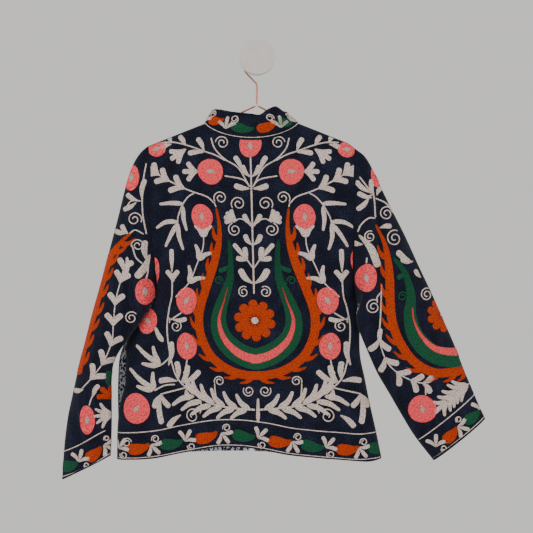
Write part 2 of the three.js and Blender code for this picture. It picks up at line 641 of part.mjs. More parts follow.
function makeHook() {
  const centreZ = STEM_R + SEAM_GAP + WIRE_R - HOOK_R;
  const points = [];
  for (let turn = HOOK_END; turn <= HOOK_LEAVES; turn += (HOOK_LEAVES - HOOK_END) / 18) {
    const angle = THREE.MathUtils.degToRad(turn);
    points.push(onHanger(HOOK_R * Math.cos(angle), centreZ + HOOK_R * Math.sin(angle)));
  }
  points.push(onHanger(SHANK_X - 6, SHANK_TOP_Z + 8));
  points.push(onHanger(SHANK_X, SHANK_TOP_Z));
  points.push(onHanger(SHANK_X, (SHANK_TOP_Z + SHANK_END_Z) / 2));
  points.push(onHanger(SHANK_X, SHANK_END_Z));
  return wire(points, 40);
}

const armZ = (x) => shoulderZ(x) - ARM_DROP;
const BAR_Z = armZ(ARM_REACH) - BAR_DROP;

// An arm leaves the shank, dives under the shoulder and bends round into the bottom bar.
function makeArm(side) {
  const start = SHANK_END_Z - WIRE_R - SEAM_GAP;
  const shows = side < 0 ? ARM_SHOWS.left : ARM_SHOWS.right;
  const neckX = CENTRE_X + side * NECK_HALF;
  const points = [onHanger(SHANK_X + side * (SEAM_GAP + 0.9), start)];
  points.push(onHanger(shows.x, shows.z));
  points.push(onHanger(neckX, NECK_POINT_Z - NECK_DROP));
  for (let k = 0; k <= 3; k += 1) {
    const x = mix(neckX + side * ARM_SEATED, side * (ARM_REACH - ARM_BEND), k / 3);
    points.push(onHanger(x, armZ(x)));
  }
  points.push(onHanger(side * ARM_REACH, mix(armZ(ARM_REACH), BAR_Z, 0.45)));
  points.push(onHanger(side * (ARM_REACH - ARM_BEND), BAR_Z));
  points.push(onHanger(side * (ARM_REACH - BAR_START), BAR_Z));
  return wire(points, 28);
}

function makeBar() {
  const end = ARM_REACH - BAR_START - SEAM_GAP;
  return wire([onHanger(-end, BAR_Z), onHanger(end, BAR_Z)], 4);
}

// The knob's profile, turned round its axis: foot on the wall, stem, and a disc with soft edges.
function makeKnob() {
  const profile = [
    new THREE.Vector2(0, 0),
    new THREE.Vector2(FOOT_R, 0),
    new THREE.Vector2(FOOT_R, FOOT_THICK - 1),
    new THREE.Vector2(FOOT_R - 1, FOOT_THICK),
    new THREE.Vector2(STEM_R + 1, FOOT_THICK + 1),
    new THREE.Vector2(STEM_R, FOOT_THICK + 3),
    new THREE.Vector2(STEM_R, -STEM_END_Y),
    new THREE.Vector2(KNOB_R - KNOB_EDGE, -STEM_END_Y),
    new THREE.Vector2(KNOB_R, -STEM_END_Y + KNOB_EDGE),
    new THREE.Vector2(KNOB_R, -STEM_END_Y + KNOB_THICK - KNOB_EDGE),
    new THREE.Vector2(KNOB_R - KNOB_EDGE, -STEM_END_Y + KNOB_THICK),
    new THREE.Vector2(0, -STEM_END_Y + KNOB_THICK),
  ];
  const geometry = new THREE.LatheGeometry(profile, ROUND_SEGMENTS);
  geometry.rotateX(Math.PI);
  return geometry;
}

function piece(name, geometry, finish) {
  const mesh = new THREE.Mesh(geometry, new THREE.MeshStandardMaterial(FINISHES[finish]));
  mesh.name = name;
  return mesh;
}

const jacket = new THREE.Group();
jacket.add(piece("back", makeBack(), "denim"));
jacket.add(piece("front_left", makeFront(-1), "denim"));
jacket.add(piece("front_right", makeFront(1), "denim"));
jacket.add(piece("lining_left", makeLining(-1), "lining"));
jacket.add(piece("lining_right", makeLining(1), "lining"));
jacket.add(piece("sleeve_left", makeSleeve(-1), "denim"));
jacket.add(piece("sleeve_right", makeSleeve(1), "denim"));
jacket.add(piece("collar", makeCollar(), "denim"));

const hanger = new THREE.Group();
hanger.add(piece("hanger_hook", makeHook(), "copper"));
hanger.add(piece("hanger_arm_left", makeArm(-1), "copper"));
hanger.add(piece("hanger_arm_right", makeArm(1), "copper"));
hanger.add(piece("hanger_bar", makeBar(), "copper"));

const group = new THREE.Group();
group.add(jacket, hanger, piece("wall_knob", makeKnob(), "paintedWood"));

export default group;
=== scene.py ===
# %% [markdown]
# # An embroidered denim jacket on a wire hanger
# A hip-length jacket hangs with its back to the room. Its cloth is dark denim, worked all over in
# chain stitch with leaves, discs, spirals and flame-edged crescents. This lesson builds the cloth
# as thin shells from a few tables, and then lays the stitches on the same surfaces.
# The solids are loaded first, so every piece lands in one shared frame.

import bpy
import numpy as np
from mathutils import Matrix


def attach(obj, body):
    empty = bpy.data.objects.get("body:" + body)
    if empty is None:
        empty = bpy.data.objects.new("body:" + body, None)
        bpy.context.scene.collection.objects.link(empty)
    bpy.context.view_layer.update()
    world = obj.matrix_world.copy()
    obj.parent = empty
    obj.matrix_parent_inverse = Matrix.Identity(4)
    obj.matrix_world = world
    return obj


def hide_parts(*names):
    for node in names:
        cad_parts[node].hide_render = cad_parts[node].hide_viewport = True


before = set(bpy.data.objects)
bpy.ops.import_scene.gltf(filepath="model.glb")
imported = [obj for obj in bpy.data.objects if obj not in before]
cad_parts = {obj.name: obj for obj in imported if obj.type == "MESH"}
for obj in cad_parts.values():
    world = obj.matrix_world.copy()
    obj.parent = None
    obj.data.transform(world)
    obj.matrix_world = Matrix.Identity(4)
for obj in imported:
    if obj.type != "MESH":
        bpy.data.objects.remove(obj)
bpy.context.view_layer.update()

# %% [markdown]
# ## Small tools for shapes
# Every shape is a function of two parameters on a grid, in millimetres, and turns to metres only
# when it becomes a mesh. Tables hold what was measured, and a smooth curve reads between rows.
# Points could be moved by hand instead, but a formula is shorter and can be changed later.

# %% Smooth numbers
MM = 0.001


def clamp(v):
    return np.clip(v, 0, 1)


def mix(a, b, t):
    return a + (b - a) * t


def ease(v):
    """3v^2 - 2v^3 between 0 and 1: starts and ends softly."""
    return clamp(v) ** 2 * (3 - 2 * clamp(v))


def quarter_round(v):
    """Height of a quarter circle, 0 at 0 and 1 at 1, steep at the start."""
    return np.sqrt(1 - (1 - clamp(v)) ** 2)


def table(names, rows):
    """A table of measurements as named columns."""
    return dict(zip(names.split(), np.array(rows, float).T))


def read(rows, key, at, column):
    """A column between its rows: the cubic curve whose slope at a row is that of its neighbours."""
    keys, values = rows[key], rows[column]
    if keys[0] > keys[-1]:
        keys, values = keys[::-1], values[::-1]
    last = len(keys) - 1
    low = np.maximum(np.arange(last + 1) - 1, 0)
    high = np.minimum(np.arange(last + 1) + 1, last)
    slopes = (values[high] - values[low]) / (keys[high] - keys[low])
    at = np.clip(at, keys[0], keys[-1])
    i = np.clip(np.searchsorted(keys, at) - 1, 0, last - 1)
    width = keys[i + 1] - keys[i]
    t = (at - keys[i]) / width
    start = values[i] * (1 + 2 * t) * (1 - t) ** 2 + slopes[i] * width * t * (1 - t) ** 2
    end = values[i + 1] * t * t * (3 - 2 * t) + slopes[i + 1] * width * t * t * (t - 1)
    return start + end


def unit(v):
    """The same direction with a length of 1."""
    return v / np.maximum(np.linalg.norm(v, axis=-1, keepdims=True), 1e-9)


def to_the_left(v):
    """A flat direction turned a quarter to its left."""
    return np.stack([-v[..., 1], v[..., 0]], axis=-1)


def pointing(degrees):
    """The flat direction of an angle, 0 to the right and 90 up."""
    return np.array([np.cos(np.radians(degrees)), np.sin(np.radians(degrees))])


def heading(v):
    """The angle of a flat direction, in degrees."""
    return np.degrees(np.arctan2(v[1], v[0]))


def run_along(path):
    """The length from a path's start to each of its points."""
    return np.concatenate([[0], np.cumsum(np.linalg.norm(np.diff(path, axis=0), axis=1))])


def smooth_line(points, step):
    """Catmull-Rom curve through the points, with a place about every step of length."""
    points = np.array(points, float)
    length = run_along(points)[-1]
    t = np.linspace(0, len(points) - 1, max(4, int(length / step) + 2))
    k = np.minimum(t.astype(int), len(points) - 2)
    t = (t - k)[:, None]
    padded = np.vstack([2 * points[:1] - points[1:2], points, 2 * points[-1:] - points[-2:-1]])
    a, b, c, d = (padded[k + i] for i in range(4))
    curve = 2 * b + (c - a) * t + (2 * a - 5 * b + 4 * c - d) * t**2
    return (curve + (3 * b - a - 3 * c + d) * t**3) / 2


print("a quarter round halfway up:", round(float(quarter_round(0.5)), 3))

# %% [markdown]
# ## Camera
# The photograph looks straight at the jacket, so the camera looks along +Y. A long lens from
# 2.3 m keeps its edges as flat as they are there, and the picture's middle is its target.

# %% Camera
CAMERA_DISTANCE = 2.3
PICTURE_WIDTH = 0.986  # what the picture spans at the jacket's surface
PICTURE_CENTRE = (0.0176, -0.045, -0.389)

camera_data = bpy.data.cameras.new("camera")
camera_data.sensor_width = 36
camera_data.lens = 36 * CAMERA_DISTANCE / PICTURE_WIDTH
camera = bpy.data.objects.new("camera", camera_data)
bpy.context.collection.objects.link(camera)
camera.location = (PICTURE_CENTRE[0], PICTURE_CENTRE[1] - CAMERA_DISTANCE, PICTURE_CENTRE[2])
camera.rotation_euler = (np.pi / 2, 0, 0)
bpy.context.scene.camera = camera
print("lens", round(camera_data.lens, 1), "mm")

# %% [markdown]
# ## The jacket's measurements
# The outline was read off the photograph at 1.85 mm to the pixel, with the knob as the
# scale. The tables give the body's two edges from shoulder to hem, the heights of the hems and
# the cross-sections of the sleeves. x runs to the right, y away from the viewer and z up.

# %% Measurements of the body
HANG_Y = -22  # plane of the hanger
CENTRE_X = -10  # middle of the neck
NECK_HALF = 88
BACK_NECK_DROP, BACK_NECK_CURVE = 30, 1.4
FRONT_NECK_DROP, FRONT_NECK_CURVE = 95, 1.2
FRONT_GAP = 8
SHOULDER_TOP_Z = -84
SHOULDER_SLOPE = 0.41
SHOULDER_ROUND = 30
DROOP_START_X = 165
DROOP = 0.015
RIDGE = 7
SIDE_ROUND = 45
SEAM_SINK = 0.7
UNDERARM_Z = -450
UNDERARM_EASE = 70
LOWEST_Z = -750
DEPTH = {
    "back": {"out": -1, "yoke": 12, "yoke_over": 100, "belly": 16},
    "front": {"out": 1, "yoke": 4, "yoke_over": 120, "belly": 2},
}
BELLY_OVER = 420

LEFT_EDGE = table("z back front backY frontY", [
    (-164.9, -205, -205, 0, 0), (-211, -200, -200, 0, 0), (-311, -197, -197, 0, 0),
    (-380, -191, -191, -1, -1), (-425, -187, -187, -2, -2), (-450, -191, -191, -2, -2),
    (-462, -202, -202, -2, -2), (-477, -213, -213, -2, -2), (-505, -233, -233, -2, -2),
    (-530, -243, -247, -4, -1), (-560, -244, -257, -9, 2), (-605, -245, -260, -12, 3),
    (-645, -255, -260, -9, 2), (-690, -260, -259, -6, 1), (-750, -261, -258, -5, 0),
])
RIGHT_EDGE = table("z back front backY frontY", [
    (-169.4, 184, 184, 0, 0), (-240, 181, 181, 0, 0), (-330, 180, 180, 0, 0),
    (-411, 179, 179, -1, -1), (-450, 183, 186, -2, -2), (-463, 190, 193, -2, -2),
    (-485, 191, 193, -2, -2), (-513, 191, 191.5, -2, -2), (-556, 192.5, 192.5, -3, -1),
    (-598, 201, 200, -5, 0), (-641, 209.5, 208, -6, 0), (-692, 221, 219, -6, 0),
    (-750, 233, 230, -5, 0),
])
HEM = table("x back front", [
    (-262, -747, -746), (-186, -742, -742), (-149, -735, -738), (-110, -727, -736),
    (-71, -721, -735), (-25, -722, -735), (6, -726, -736), (62, -737, -740),
    (147, -744, -745), (204, -749, -746), (233, -745, -744),
])
print("edges of", len(LEFT_EDGE["z"]), "and", len(RIGHT_EDGE["z"]), "rows")

# %% Measurements of the sleeves and the collar
SLEEVES = {
    -1: table("ox oy oz ix iy iz room wall", [
        (-205, -22, -165, -191, -24, -450, 17, 12), (-219, -22, -178, -196, -34, -460, 23, 13),
        (-233, -23, -202, -199, -44, -469, 26, 13), (-246, -24, -243, -201, -50, -475, 28, 13),
        (-260, -25, -300, -205, -52, -473, 30, 14), (-275, -26, -358, -208, -53, -481, 31, 15),
        (-291, -27, -420, -215, -52, -492, 31, 16), (-307, -28, -478, -229, -52, -511, 31, 17),
        (-320, -29, -530, -247, -50, -535, 31, 18), (-332, -30, -576, -264, -47, -565, 30, 18),
        (-342, -31, -622, -269, -44, -602, 29, 18), (-351, -32, -664, -269, -42, -641, 27, 17),
        (-357, -33, -710, -269, -41, -682, 25, 16), (-360, -34, -748, -270, -40, -713, 23, 15),
        (-362, -35, -784, -271, -39, -739, 21, 14),
    ]),
    1: table("ox oy oz ix iy iz room wall", [
        (184, -22, -169, 183, -24, -450, 17, 12), (202, -22, -184, 188, -34, -460, 23, 13),
        (218, -23, -212, 189, -44, -469, 26, 13), (235, -24, -249, 186, -50, -476, 28, 13),
        (254, -25, -288, 184, -52, -476, 30, 14), (277, -26, -334, 183, -52, -487, 31, 15),
        (301, -27, -387, 187, -50, -503, 31, 16), (325, -28, -438, 195, -49, -524, 31, 16),
        (347, -29, -488, 207, -47, -552, 30, 16), (367, -30, -534, 223, -45, -587, 29, 16),
        (385, -31, -581, 246, -43, -626, 27, 16), (398, -32, -612, 268, -42, -664, 25, 15),
        (411, -33, -643, 292, -41, -703, 22, 14), (424, -34, -671, 327, -40, -748, 19, 13),
    ]),
}
CAP_SHARE = 0.18  # of a sleeve, over which the armhole's shape fades out
CAP_CALM = 0.08  # of a sleeve, over which its creases fade in
COLLAR_BOW = 1.6
COLLAR_TOP = table("at x y z", [
    (-1, -15, -17, -176), (-0.85, -38, -16, -164), (-0.68, -66, -15, -136),
    (-0.56, -82, -19, -107), (-0.5, -86, -25, -101), (-0.42, -77, -38, -97),
    (-0.2, -46, -46, -102.5), (0, -10, -48, -106.5), (0.09, 5, -48, -108),
    (0.2, 20, -46, -98), (0.31, 35, -41, -92), (0.42, 47, -33, -99), (0.5, 56, -24, -102),
    (0.6, 47, -17, -113), (0.8, 24, -15, -152), (1, -5, -17, -176),
])
print("sleeve tables of", [len(rows["ox"]) for rows in SLEEVES.values()], "cross-sections")

# %% [markdown]
# ## Creases
# A simulated cloth would fall into creases of its own choosing. The real ones are known from the
# photograph, so each is put in as a soft trough along a line, and a ridge has a depth
# below 0. No two have the same length, width or depth. The hidden front has ones of its own.

# %% Creases
BACK_FOLDS = table("ax az bx bz width depth", [
    (-184, -400, -214, -660, 15, 6), (-176, -420, -118, -600, 16, 3.5),
    (168, -420, 182, -640, 14, 4), (-150, -600, -158, -860, 26, 5),
    (-96, -560, -92, -880, 26, -4), (44, -600, 52, -860, 30, 4), (124, -560, 140, -880, 26, -4),
    (176, -580, 196, -880, 18, 4), (-150, -168, -158, -330, 14, 2.5),
    (138, -168, 146, -330, 14, 2.5),
    (-196, -440, -150, -520, 7, 1.6), (-205, -470, -165, -590, 6, 1.4),
    (178, -432, 132, -500, 7, 1.5), (180, -470, 150, -600, 6, 1.2),
    (-60, -150, -96, -230, 9, 1.1), (46, -150, 84, -236, 9, 1.2),
    (-226, -620, -240, -800, 9, 2.2), (-190, -640, -196, -830, 8, -1.6),
    (-20, -640, -26, -850, 12, 1.8), (90, -640, 92, -840, 10, 1.6), (206, -660, 214, -820, 7, 1.8),
    (-70, -250, -50, -420, 20, 1.2), (60, -260, 40, -430, 22, 1.3),
])
FRONT_FOLDS = table("ax az bx bz width depth", [
    (-176, -420, -120, -640, 18, 3), (168, -420, 110, -640, 18, 3),
    (-130, -600, -150, -880, 24, 3), (100, -600, 120, -880, 24, 3),
    (-190, -450, -150, -530, 7, 1.4), (176, -440, 140, -530, 7, 1.3),
    (-60, -260, -70, -520, 14, 1.8), (44, -300, 52, -560, 12, 1.6),
    (-210, -600, -222, -840, 9, 1.6), (-40, -560, -44, -860, 10, -1.4),
    (160, -620, 176, -860, 10, 1.7), (34, -600, 30, -860, 9, -1.2),
])
SLEEVE_FOLDS = {
    -1: table("ax az bx bz width depth", [
        (-270, -262, -200, -350, 12, 3), (-296, -396, -206, -452, 12, 4),
        (-322, -500, -236, -540, 12, 4.5), (-344, -596, -270, -560, 11, 4),
        (-352, -618, -322, -738, 10, 5), (-296, -640, -322, -742, 10, 4),
        (-282, -600, -280, -780, 9, 4),
        (-228, -230, -214, -420, 8, 1.8), (-262, -330, -222, -398, 6, 1.5),
        (-306, -450, -246, -500, 6, 1.7), (-336, -560, -284, -600, 6, 1.6),
        (-346, -680, -330, -800, 6, 1.8), (-306, -700, -300, -800, 7, -1.4),
    ]),
    1: table("ax az bx bz width depth", [
        (220, -190, 236, -540, 10, 9), (190, -470, 262, -560, 12, 4),
        (218, -560, 320, -560, 13, 4), (300, -440, 262, -540, 13, 3.5),
        (372, -560, 300, -640, 14, 3),
        (204, -260, 208, -460, 6, 1.8), (262, -320, 228, -420, 7, 1.7),
        (340, -490, 270, -560, 7, 1.8), (236, -600, 330, -620, 6, 1.6),
        (392, -620, 330, -690, 7, 1.6), (360, -640, 320, -760, 8, -1.4),
    ]),
}


def fold_depth(folds, x, z):
    """Sum of troughs: depth * exp(-(distance to the line / width)^2), faded in at both ends."""
    total = np.zeros(np.broadcast(x, z).shape)
    for ax, az, bx, bz, width, depth in zip(*folds.values()):
        length = np.hypot(bx - ax, bz - az)
        along = ((x - ax) * (bx - ax) + (z - az) * (bz - az)) / length**2
        off = ((x - ax) * (bz - az) - (z - az) * (bx - ax)) / length
        total += depth * ease(along / 0.3) * ease((1 - along) / 0.3) * np.exp(-((off / width) ** 2))
    return total


print("creases in the back:", len(BACK_FOLDS["ax"]))

# %% [markdown]
# ## Surfaces of the body
# The back and the two fronts hang from one shoulder line. Each stands off the hanger's plane by a
# rise: a small round ridge over the wire, a yoke and a slow belly, rounded off at the side seams.

# %% Body surfaces


def shoulder_z(x):
    """Height of the shoulder line: a slope on both sides of the neck, which droops at the right."""
    droop = DROOP * np.maximum(0, x - DROOP_START_X) ** 2
    return SHOULDER_TOP_Z - SHOULDER_SLOPE * np.hypot(x - CENTRE_X, SHOULDER_ROUND) - droop


NECK_POINT_Z = shoulder_z(CENTRE_X - NECK_HALF)


def neck_seam(at):
    """x and z round the neck: 0 is the middle of the back, -1 and 1 are the front edges."""
    turn = np.pi * at
    back = np.abs(at) <= 0.5
    level = np.abs(np.cos(turn))
    front_x = CENTRE_X + np.sign(at) * mix(FRONT_GAP / 2, NECK_HALF, np.abs(np.sin(turn)))
    x = np.where(back, CENTRE_X + NECK_HALF * np.sin(turn), front_x)
    back_drop = BACK_NECK_DROP * level**BACK_NECK_CURVE
    front_drop = FRONT_NECK_DROP * level**FRONT_NECK_CURVE
    z = NECK_POINT_Z - np.where(back, back_drop, front_drop)
    return x, z


def edge_x(side, panel, z):
    return read(LEFT_EDGE if side < 0 else RIGHT_EDGE, "z", z, panel)


def panel_y(panel, x, z):
    """y = the hanger's plane + out * (rise * rounding - folds), where the rise grows downwards."""
    depth = DEPTH[panel]
    drop = np.maximum(0, shoulder_z(x) - z)
    rise = RIDGE * quarter_round(drop / RIDGE) + depth["yoke"] * ease(drop / depth["yoke_over"])
    rise = rise + depth["belly"] * ease(drop / BELLY_OVER)
    to_left, to_right = x - edge_x(-1, panel, z), edge_x(1, panel, z) - x
    inset = np.maximum(0, np.minimum(to_left, to_right))
    at_seam = SEAM_SINK * ease((z - UNDERARM_Z) / UNDERARM_EASE)
    rounding = at_seam + (1 - at_seam) * quarter_round(inset / SIDE_ROUND)
    left_part = read(LEFT_EDGE, "z", z, panel + "Y")
    right_part = read(RIGHT_EDGE, "z", z, panel + "Y")
    shift = (1 - rounding) * np.where(to_left < to_right, left_part, right_part)
    folds = fold_depth(BACK_FOLDS if panel == "back" else FRONT_FOLDS, x, z)
    calm = ease(drop / 40) * ease(inset / 20)
    return HANG_Y + shift + depth["out"] * (rise * rounding - calm * folds)


RIDGE_ROWS, UPPER_ROWS, LOWER_ROWS = 9, 62, 74  # of a panel's grid: ridge, to the underarm, below
ARM_ROWS = RIDGE_ROWS - 1 + UPPER_ROWS


def panel_grid(panel, top_x, top_z, left_of, right_of):
    """A panel between two long edges: each column keeps its share of the width from top to hem."""
    bow = 1 - np.cos(np.linspace(0, np.pi / 2, RIDGE_ROWS)[:-1])
    ridge = RIDGE * bow / (LEFT_EDGE["z"][0] - UNDERARM_Z)
    fall = np.concatenate([ridge, np.linspace(ridge[-1] + 0.006, 1, UPPER_ROWS)])
    down = np.linspace(0, 1, LOWER_ROWS)[1:]
    share = clamp((top_x - left_of(top_z)) / (right_of(top_z) - left_of(top_z)))
    hem_x = mix(left_of(LOWEST_Z), right_of(LOWEST_Z), share)
    hem_z = read(HEM, "x", hem_x, panel)
    upper = mix(top_z[None, :], UNDERARM_Z, fall[:, None])
    lower = mix(UNDERARM_Z, hem_z[None, :], down[:, None])
    z = np.vstack([upper, lower])
    x = mix(left_of(z), right_of(z), share[None, :])
    return np.stack([x, panel_y(panel, x, z), z], axis=-1)


crowded = np.linspace(0, 1, 31)[:-1] ** 1.7  # columns crowd towards the side seams
left_top_x = mix(LEFT_EDGE["back"][0], CENTRE_X - NECK_HALF, crowded)
right_top_x = mix(RIGHT_EDGE["back"][0], CENTRE_X + NECK_HALF, crowded)[::-1]
back_neck = neck_seam(np.linspace(-0.5, 0.5, 54))
back_grid = panel_grid(
    "back",
    np.concatenate([left_top_x, back_neck[0], right_top_x]),
    np.concatenate([shoulder_z(left_top_x), back_neck[1], shoulder_z(right_top_x)]),
    lambda z: edge_x(-1, "back", z),
    lambda z: edge_x(1, "back", z),
)
front_places = 0.5 + 0.5 * np.linspace(0, 1, 40) ** 1.6
left_neck, right_neck = neck_seam(-front_places), neck_seam(front_places[::-1])
front_left_grid = panel_grid(
    "front",
    np.concatenate([left_top_x, left_neck[0]]),
    np.concatenate([shoulder_z(left_top_x), left_neck[1]]),
    lambda z: edge_x(-1, "front", z),
    lambda z: CENTRE_X - FRONT_GAP / 2 + 0 * z,
)[:, ::-1]
front_right_grid = panel_grid(
    "front",
    np.concatenate([right_neck[0], right_top_x]),
    np.concatenate([right_neck[1], shoulder_z(right_top_x)]),
    lambda z: CENTRE_X + FRONT_GAP / 2 + 0 * z,
    lambda z: edge_x(1, "front", z),
)[:, ::-1]
print("back grid", back_grid.shape, "front grids", front_left_grid.shape, front_right_grid.shape)

# %% [markdown]
# ## Surfaces of the sleeves and the collar
# A sleeve is a bent tube. Its cross-sections run from an outer edge to an inner one and swell to
# both sides. The first ring has the armhole's own shape, which fades out over the cap.

# %% Sleeve and collar surfaces


def armhole(side, turn):
    """The armhole seam: turn 0 is the shoulder tip, pi the underarm, and past pi the front."""
    edge = LEFT_EDGE if side < 0 else RIGHT_EDGE
    z = mix(edge["z"][0], UNDERARM_Z, (1 - np.cos(turn)) / 2)
    x_back, x_front = edge_x(side, "back", z), edge_x(side, "front", z)
    behind = np.sin(turn) >= 0
    y = np.where(behind, panel_y("back", x_back, z), panel_y("front", x_front, z))
    return np.stack([np.where(behind, x_back, x_front), y, z], axis=-1)


def sleeve_section(side, share, turn):
    """A point between outer and inner edge by (1 - cos turn) / 2, off to a side by sin turn."""
    rows = dict(SLEEVES[side], share=np.linspace(0, 1, len(SLEEVES[side]["ox"])))
    ox, oy, oz, ix, iy, iz, room, wall = (
        read(rows, "share", share, name) for name in "ox oy oz ix iy iz room wall".split()
    )
    across = (1 - np.cos(turn)) / 2
    swell = np.where(np.sin(turn) >= 0, room, wall)
    y = mix(oy, iy, across) - swell * np.sin(turn)
    return np.stack([mix(ox, ix, across), y, mix(oz, iz, across)], axis=-1)


def sleeve_point(side, share, turn):
    """The section, plus what is left of the armhole's shape, minus the folds."""
    share, turn = np.broadcast_arrays(share, turn)
    left = np.maximum(0, 1 - share / CAP_SHARE) ** 2
    residual = armhole(side, turn) - sleeve_section(side, 0 * share, turn)
    point = sleeve_section(side, share, turn) + left[..., None] * residual
    calm = ease(share / CAP_CALM) * np.abs(np.sin(turn)) ** 0.5
    towards_room = np.where(np.sin(turn) >= 0, 1, -0.5)
    folds = fold_depth(SLEEVE_FOLDS[side], point[..., 0], point[..., 2])
    point[..., 1] += towards_room * calm * folds
    return point


def collar_point(at, up):
    """A band from the neck seam (up 0) to the table's top edge (up 1), bowed a little outwards."""
    at, up = np.broadcast_arrays(at, up)
    x, z = neck_seam(at)
    y = np.where(np.abs(at) <= 0.5, panel_y("back", x, z), panel_y("front", x, z))
    foot = np.stack([x, y, z], axis=-1)
    top = np.stack([read(COLLAR_TOP, "at", at, name) for name in "xyz"], axis=-1)
    point = mix(foot, top, up[..., None])
    out = np.stack([np.sin(np.pi * at), -np.cos(np.pi * at), 0 * at], axis=-1)
    return point + (COLLAR_BOW * np.sin(np.pi * up) ** 0.8)[..., None] * out


SLEEVE_ROWS, SLEEVE_COLUMNS = 130, 96
COLLAR_ROWS, COLLAR_COLUMNS = 15, 181
sleeve_turns = np.linspace(0, 2 * np.pi, SLEEVE_COLUMNS, endpoint=False)
sleeve_shares = np.linspace(0, 1, SLEEVE_ROWS)[:, None]
sleeve_grids = {side: sleeve_point(side, sleeve_shares, sleeve_turns[None, ::-side])
                for side in (-1, 1)}
collar_grid = collar_point(np.linspace(-1, 1, COLLAR_COLUMNS)[None, :],
                           np.linspace(1, 0, COLLAR_ROWS)[:, None])
print("sleeve grids", sleeve_grids[-1].shape, "collar grid", collar_grid.shape)

# %% [markdown]
# ## From surfaces to cloth
# Cloth could be one plane with a Solidify modifier. Here both faces are made at once, because the
# outer face is denim and the inner face is a printed cotton lining: one shell, two finishes.
# Each face of the cloth gets a map in metres along and across, so that the weave follows it.

# %% Cloth shells
CLOTH = 1.8  # thickness


def grid_normals(grid, ring):
    """Cross product of the steps down and across, which points out of the garment."""
    down = np.gradient(grid, axis=0)
    if ring:
        across = (np.roll(grid, -1, axis=1) - np.roll(grid, 1, axis=1)) / 2
    else:
        across = np.gradient(grid, axis=1)
    return unit(np.cross(down, across))


def grid_faces(rows, columns, ring):
    """Quads of a grid of points, rows along and columns across."""
    i = np.arange(rows - 1)[:, None]
    j = np.arange(columns if ring else columns - 1)[None, :]
    after = (j + 1) % columns
    a, b = i * columns + j, (i + 1) * columns + j
    c, d = (i + 1) * columns + after, i * columns + after
    return np.stack([a, b, c, d], axis=-1).reshape(-1, 4)


def new_mesh(name, points, quads, finishes, face_finish=0, uv=None):
    """A smooth mesh from an array of points in millimetres and an array of quads."""
    mesh = bpy.data.meshes.new(name)
    mesh.vertices.add(len(points))
    mesh.vertices.foreach_set("co", (points * MM).astype(np.float32).ravel())
    mesh.loops.add(quads.size)
    mesh.loops.foreach_set("vertex_index", quads.astype(np.int32).ravel())
    mesh.polygons.add(len(quads))
    mesh.polygons.foreach_set("loop_start", np.arange(0, quads.size, 4, dtype=np.int32))
    for finish in finishes:
        mesh.materials.append(finish)
    slots = np.broadcast_to(np.asarray(face_finish, np.int32), len(quads)).copy()
    mesh.polygons.foreach_set("material_index", slots)
    mesh.polygons.foreach_set("use_smooth", np.ones(len(quads), bool))
    if uv is not None:
        layer = mesh.uv_layers.new(name="cloth")
        layer.data.foreach_set("uv", uv[quads.ravel()].astype(np.float32).ravel())
    mesh.update(calc_edges=True)
    piece = bpy.data.objects.new(name, mesh)
    bpy.context.collection.objects.link(piece)
    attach(piece, "root")
    return piece


def cloth_shell(name, grid, ring, finishes, inward=None):
    """Outer and inner grid joined round their rims: outer faces take finish 0, inner ones 1."""
    rows, columns = grid.shape[:2]
    inner = grid - CLOTH * grid_normals(grid, ring) if inward is None else grid + inward
    down = np.cumsum(np.linalg.norm(np.diff(grid, axis=0, prepend=grid[:1]), axis=-1), axis=0)
    across = np.cumsum(np.linalg.norm(np.diff(grid, axis=1, prepend=grid[:, :1]), axis=-1), axis=1)
    uv = np.stack([across, down], axis=-1).reshape(-1, 2) * MM
    outer_faces = grid_faces(rows, columns, ring)
    count = rows * columns
    inner_faces = outer_faces[:, ::-1] + count
    here = np.arange(columns if ring else columns - 1)
    after, end = (here + 1) % columns, (rows - 1) * columns
    rims = [(after, here), (end + here, end + after)]
    if not ring:
        first = np.arange(rows - 1) * columns
        last = first + columns - 1
        rims += [(first, first + columns), (last + columns, last)]
    rim = np.vstack([np.stack([a, a + count, b + count, b], axis=-1) for a, b in rims])
    quads = np.vstack([outer_faces, inner_faces, rim])
    slots = np.repeat([0, 1, 0], [len(outer_faces), len(inner_faces), len(rim)])
    points = np.vstack([grid.reshape(-1, 3), inner.reshape(-1, 3)])
    return new_mesh(name, points, quads, finishes, slots, np.vstack([uv, uv]))


# %% [markdown]
# ## Finishes
# A finish is a small sum: one class lets shader sockets be added and multiplied like numbers, and
# one method makes every other node. What is the same all over stays on the shader's own socket.

# %% Shader maths


class Shade:
    """One socket of a finish. Sums of shades and numbers add the Math nodes they need."""

    def __init__(self, finish, socket):
        self.finish, self.socket = finish, socket

    def maths(self, operation, *others, turned=False):
        values = [self, *others]
        values = values[::-1] if turned else values
        return self.finish.node("ShaderNodeMath", {"operation": operation}, values)["Value"]

    def __add__(self, other):
        return self.maths("ADD", other)

    def __sub__(self, other):
        return self.maths("SUBTRACT", other)

    def __rsub__(self, other):
        return self.maths("SUBTRACT", other, turned=True)

    def __mul__(self, other):
        return self.maths("MULTIPLY", other)

    def __pow__(self, other):
        return self.maths("POWER", other)

    __radd__, __rmul__ = __add__, __mul__


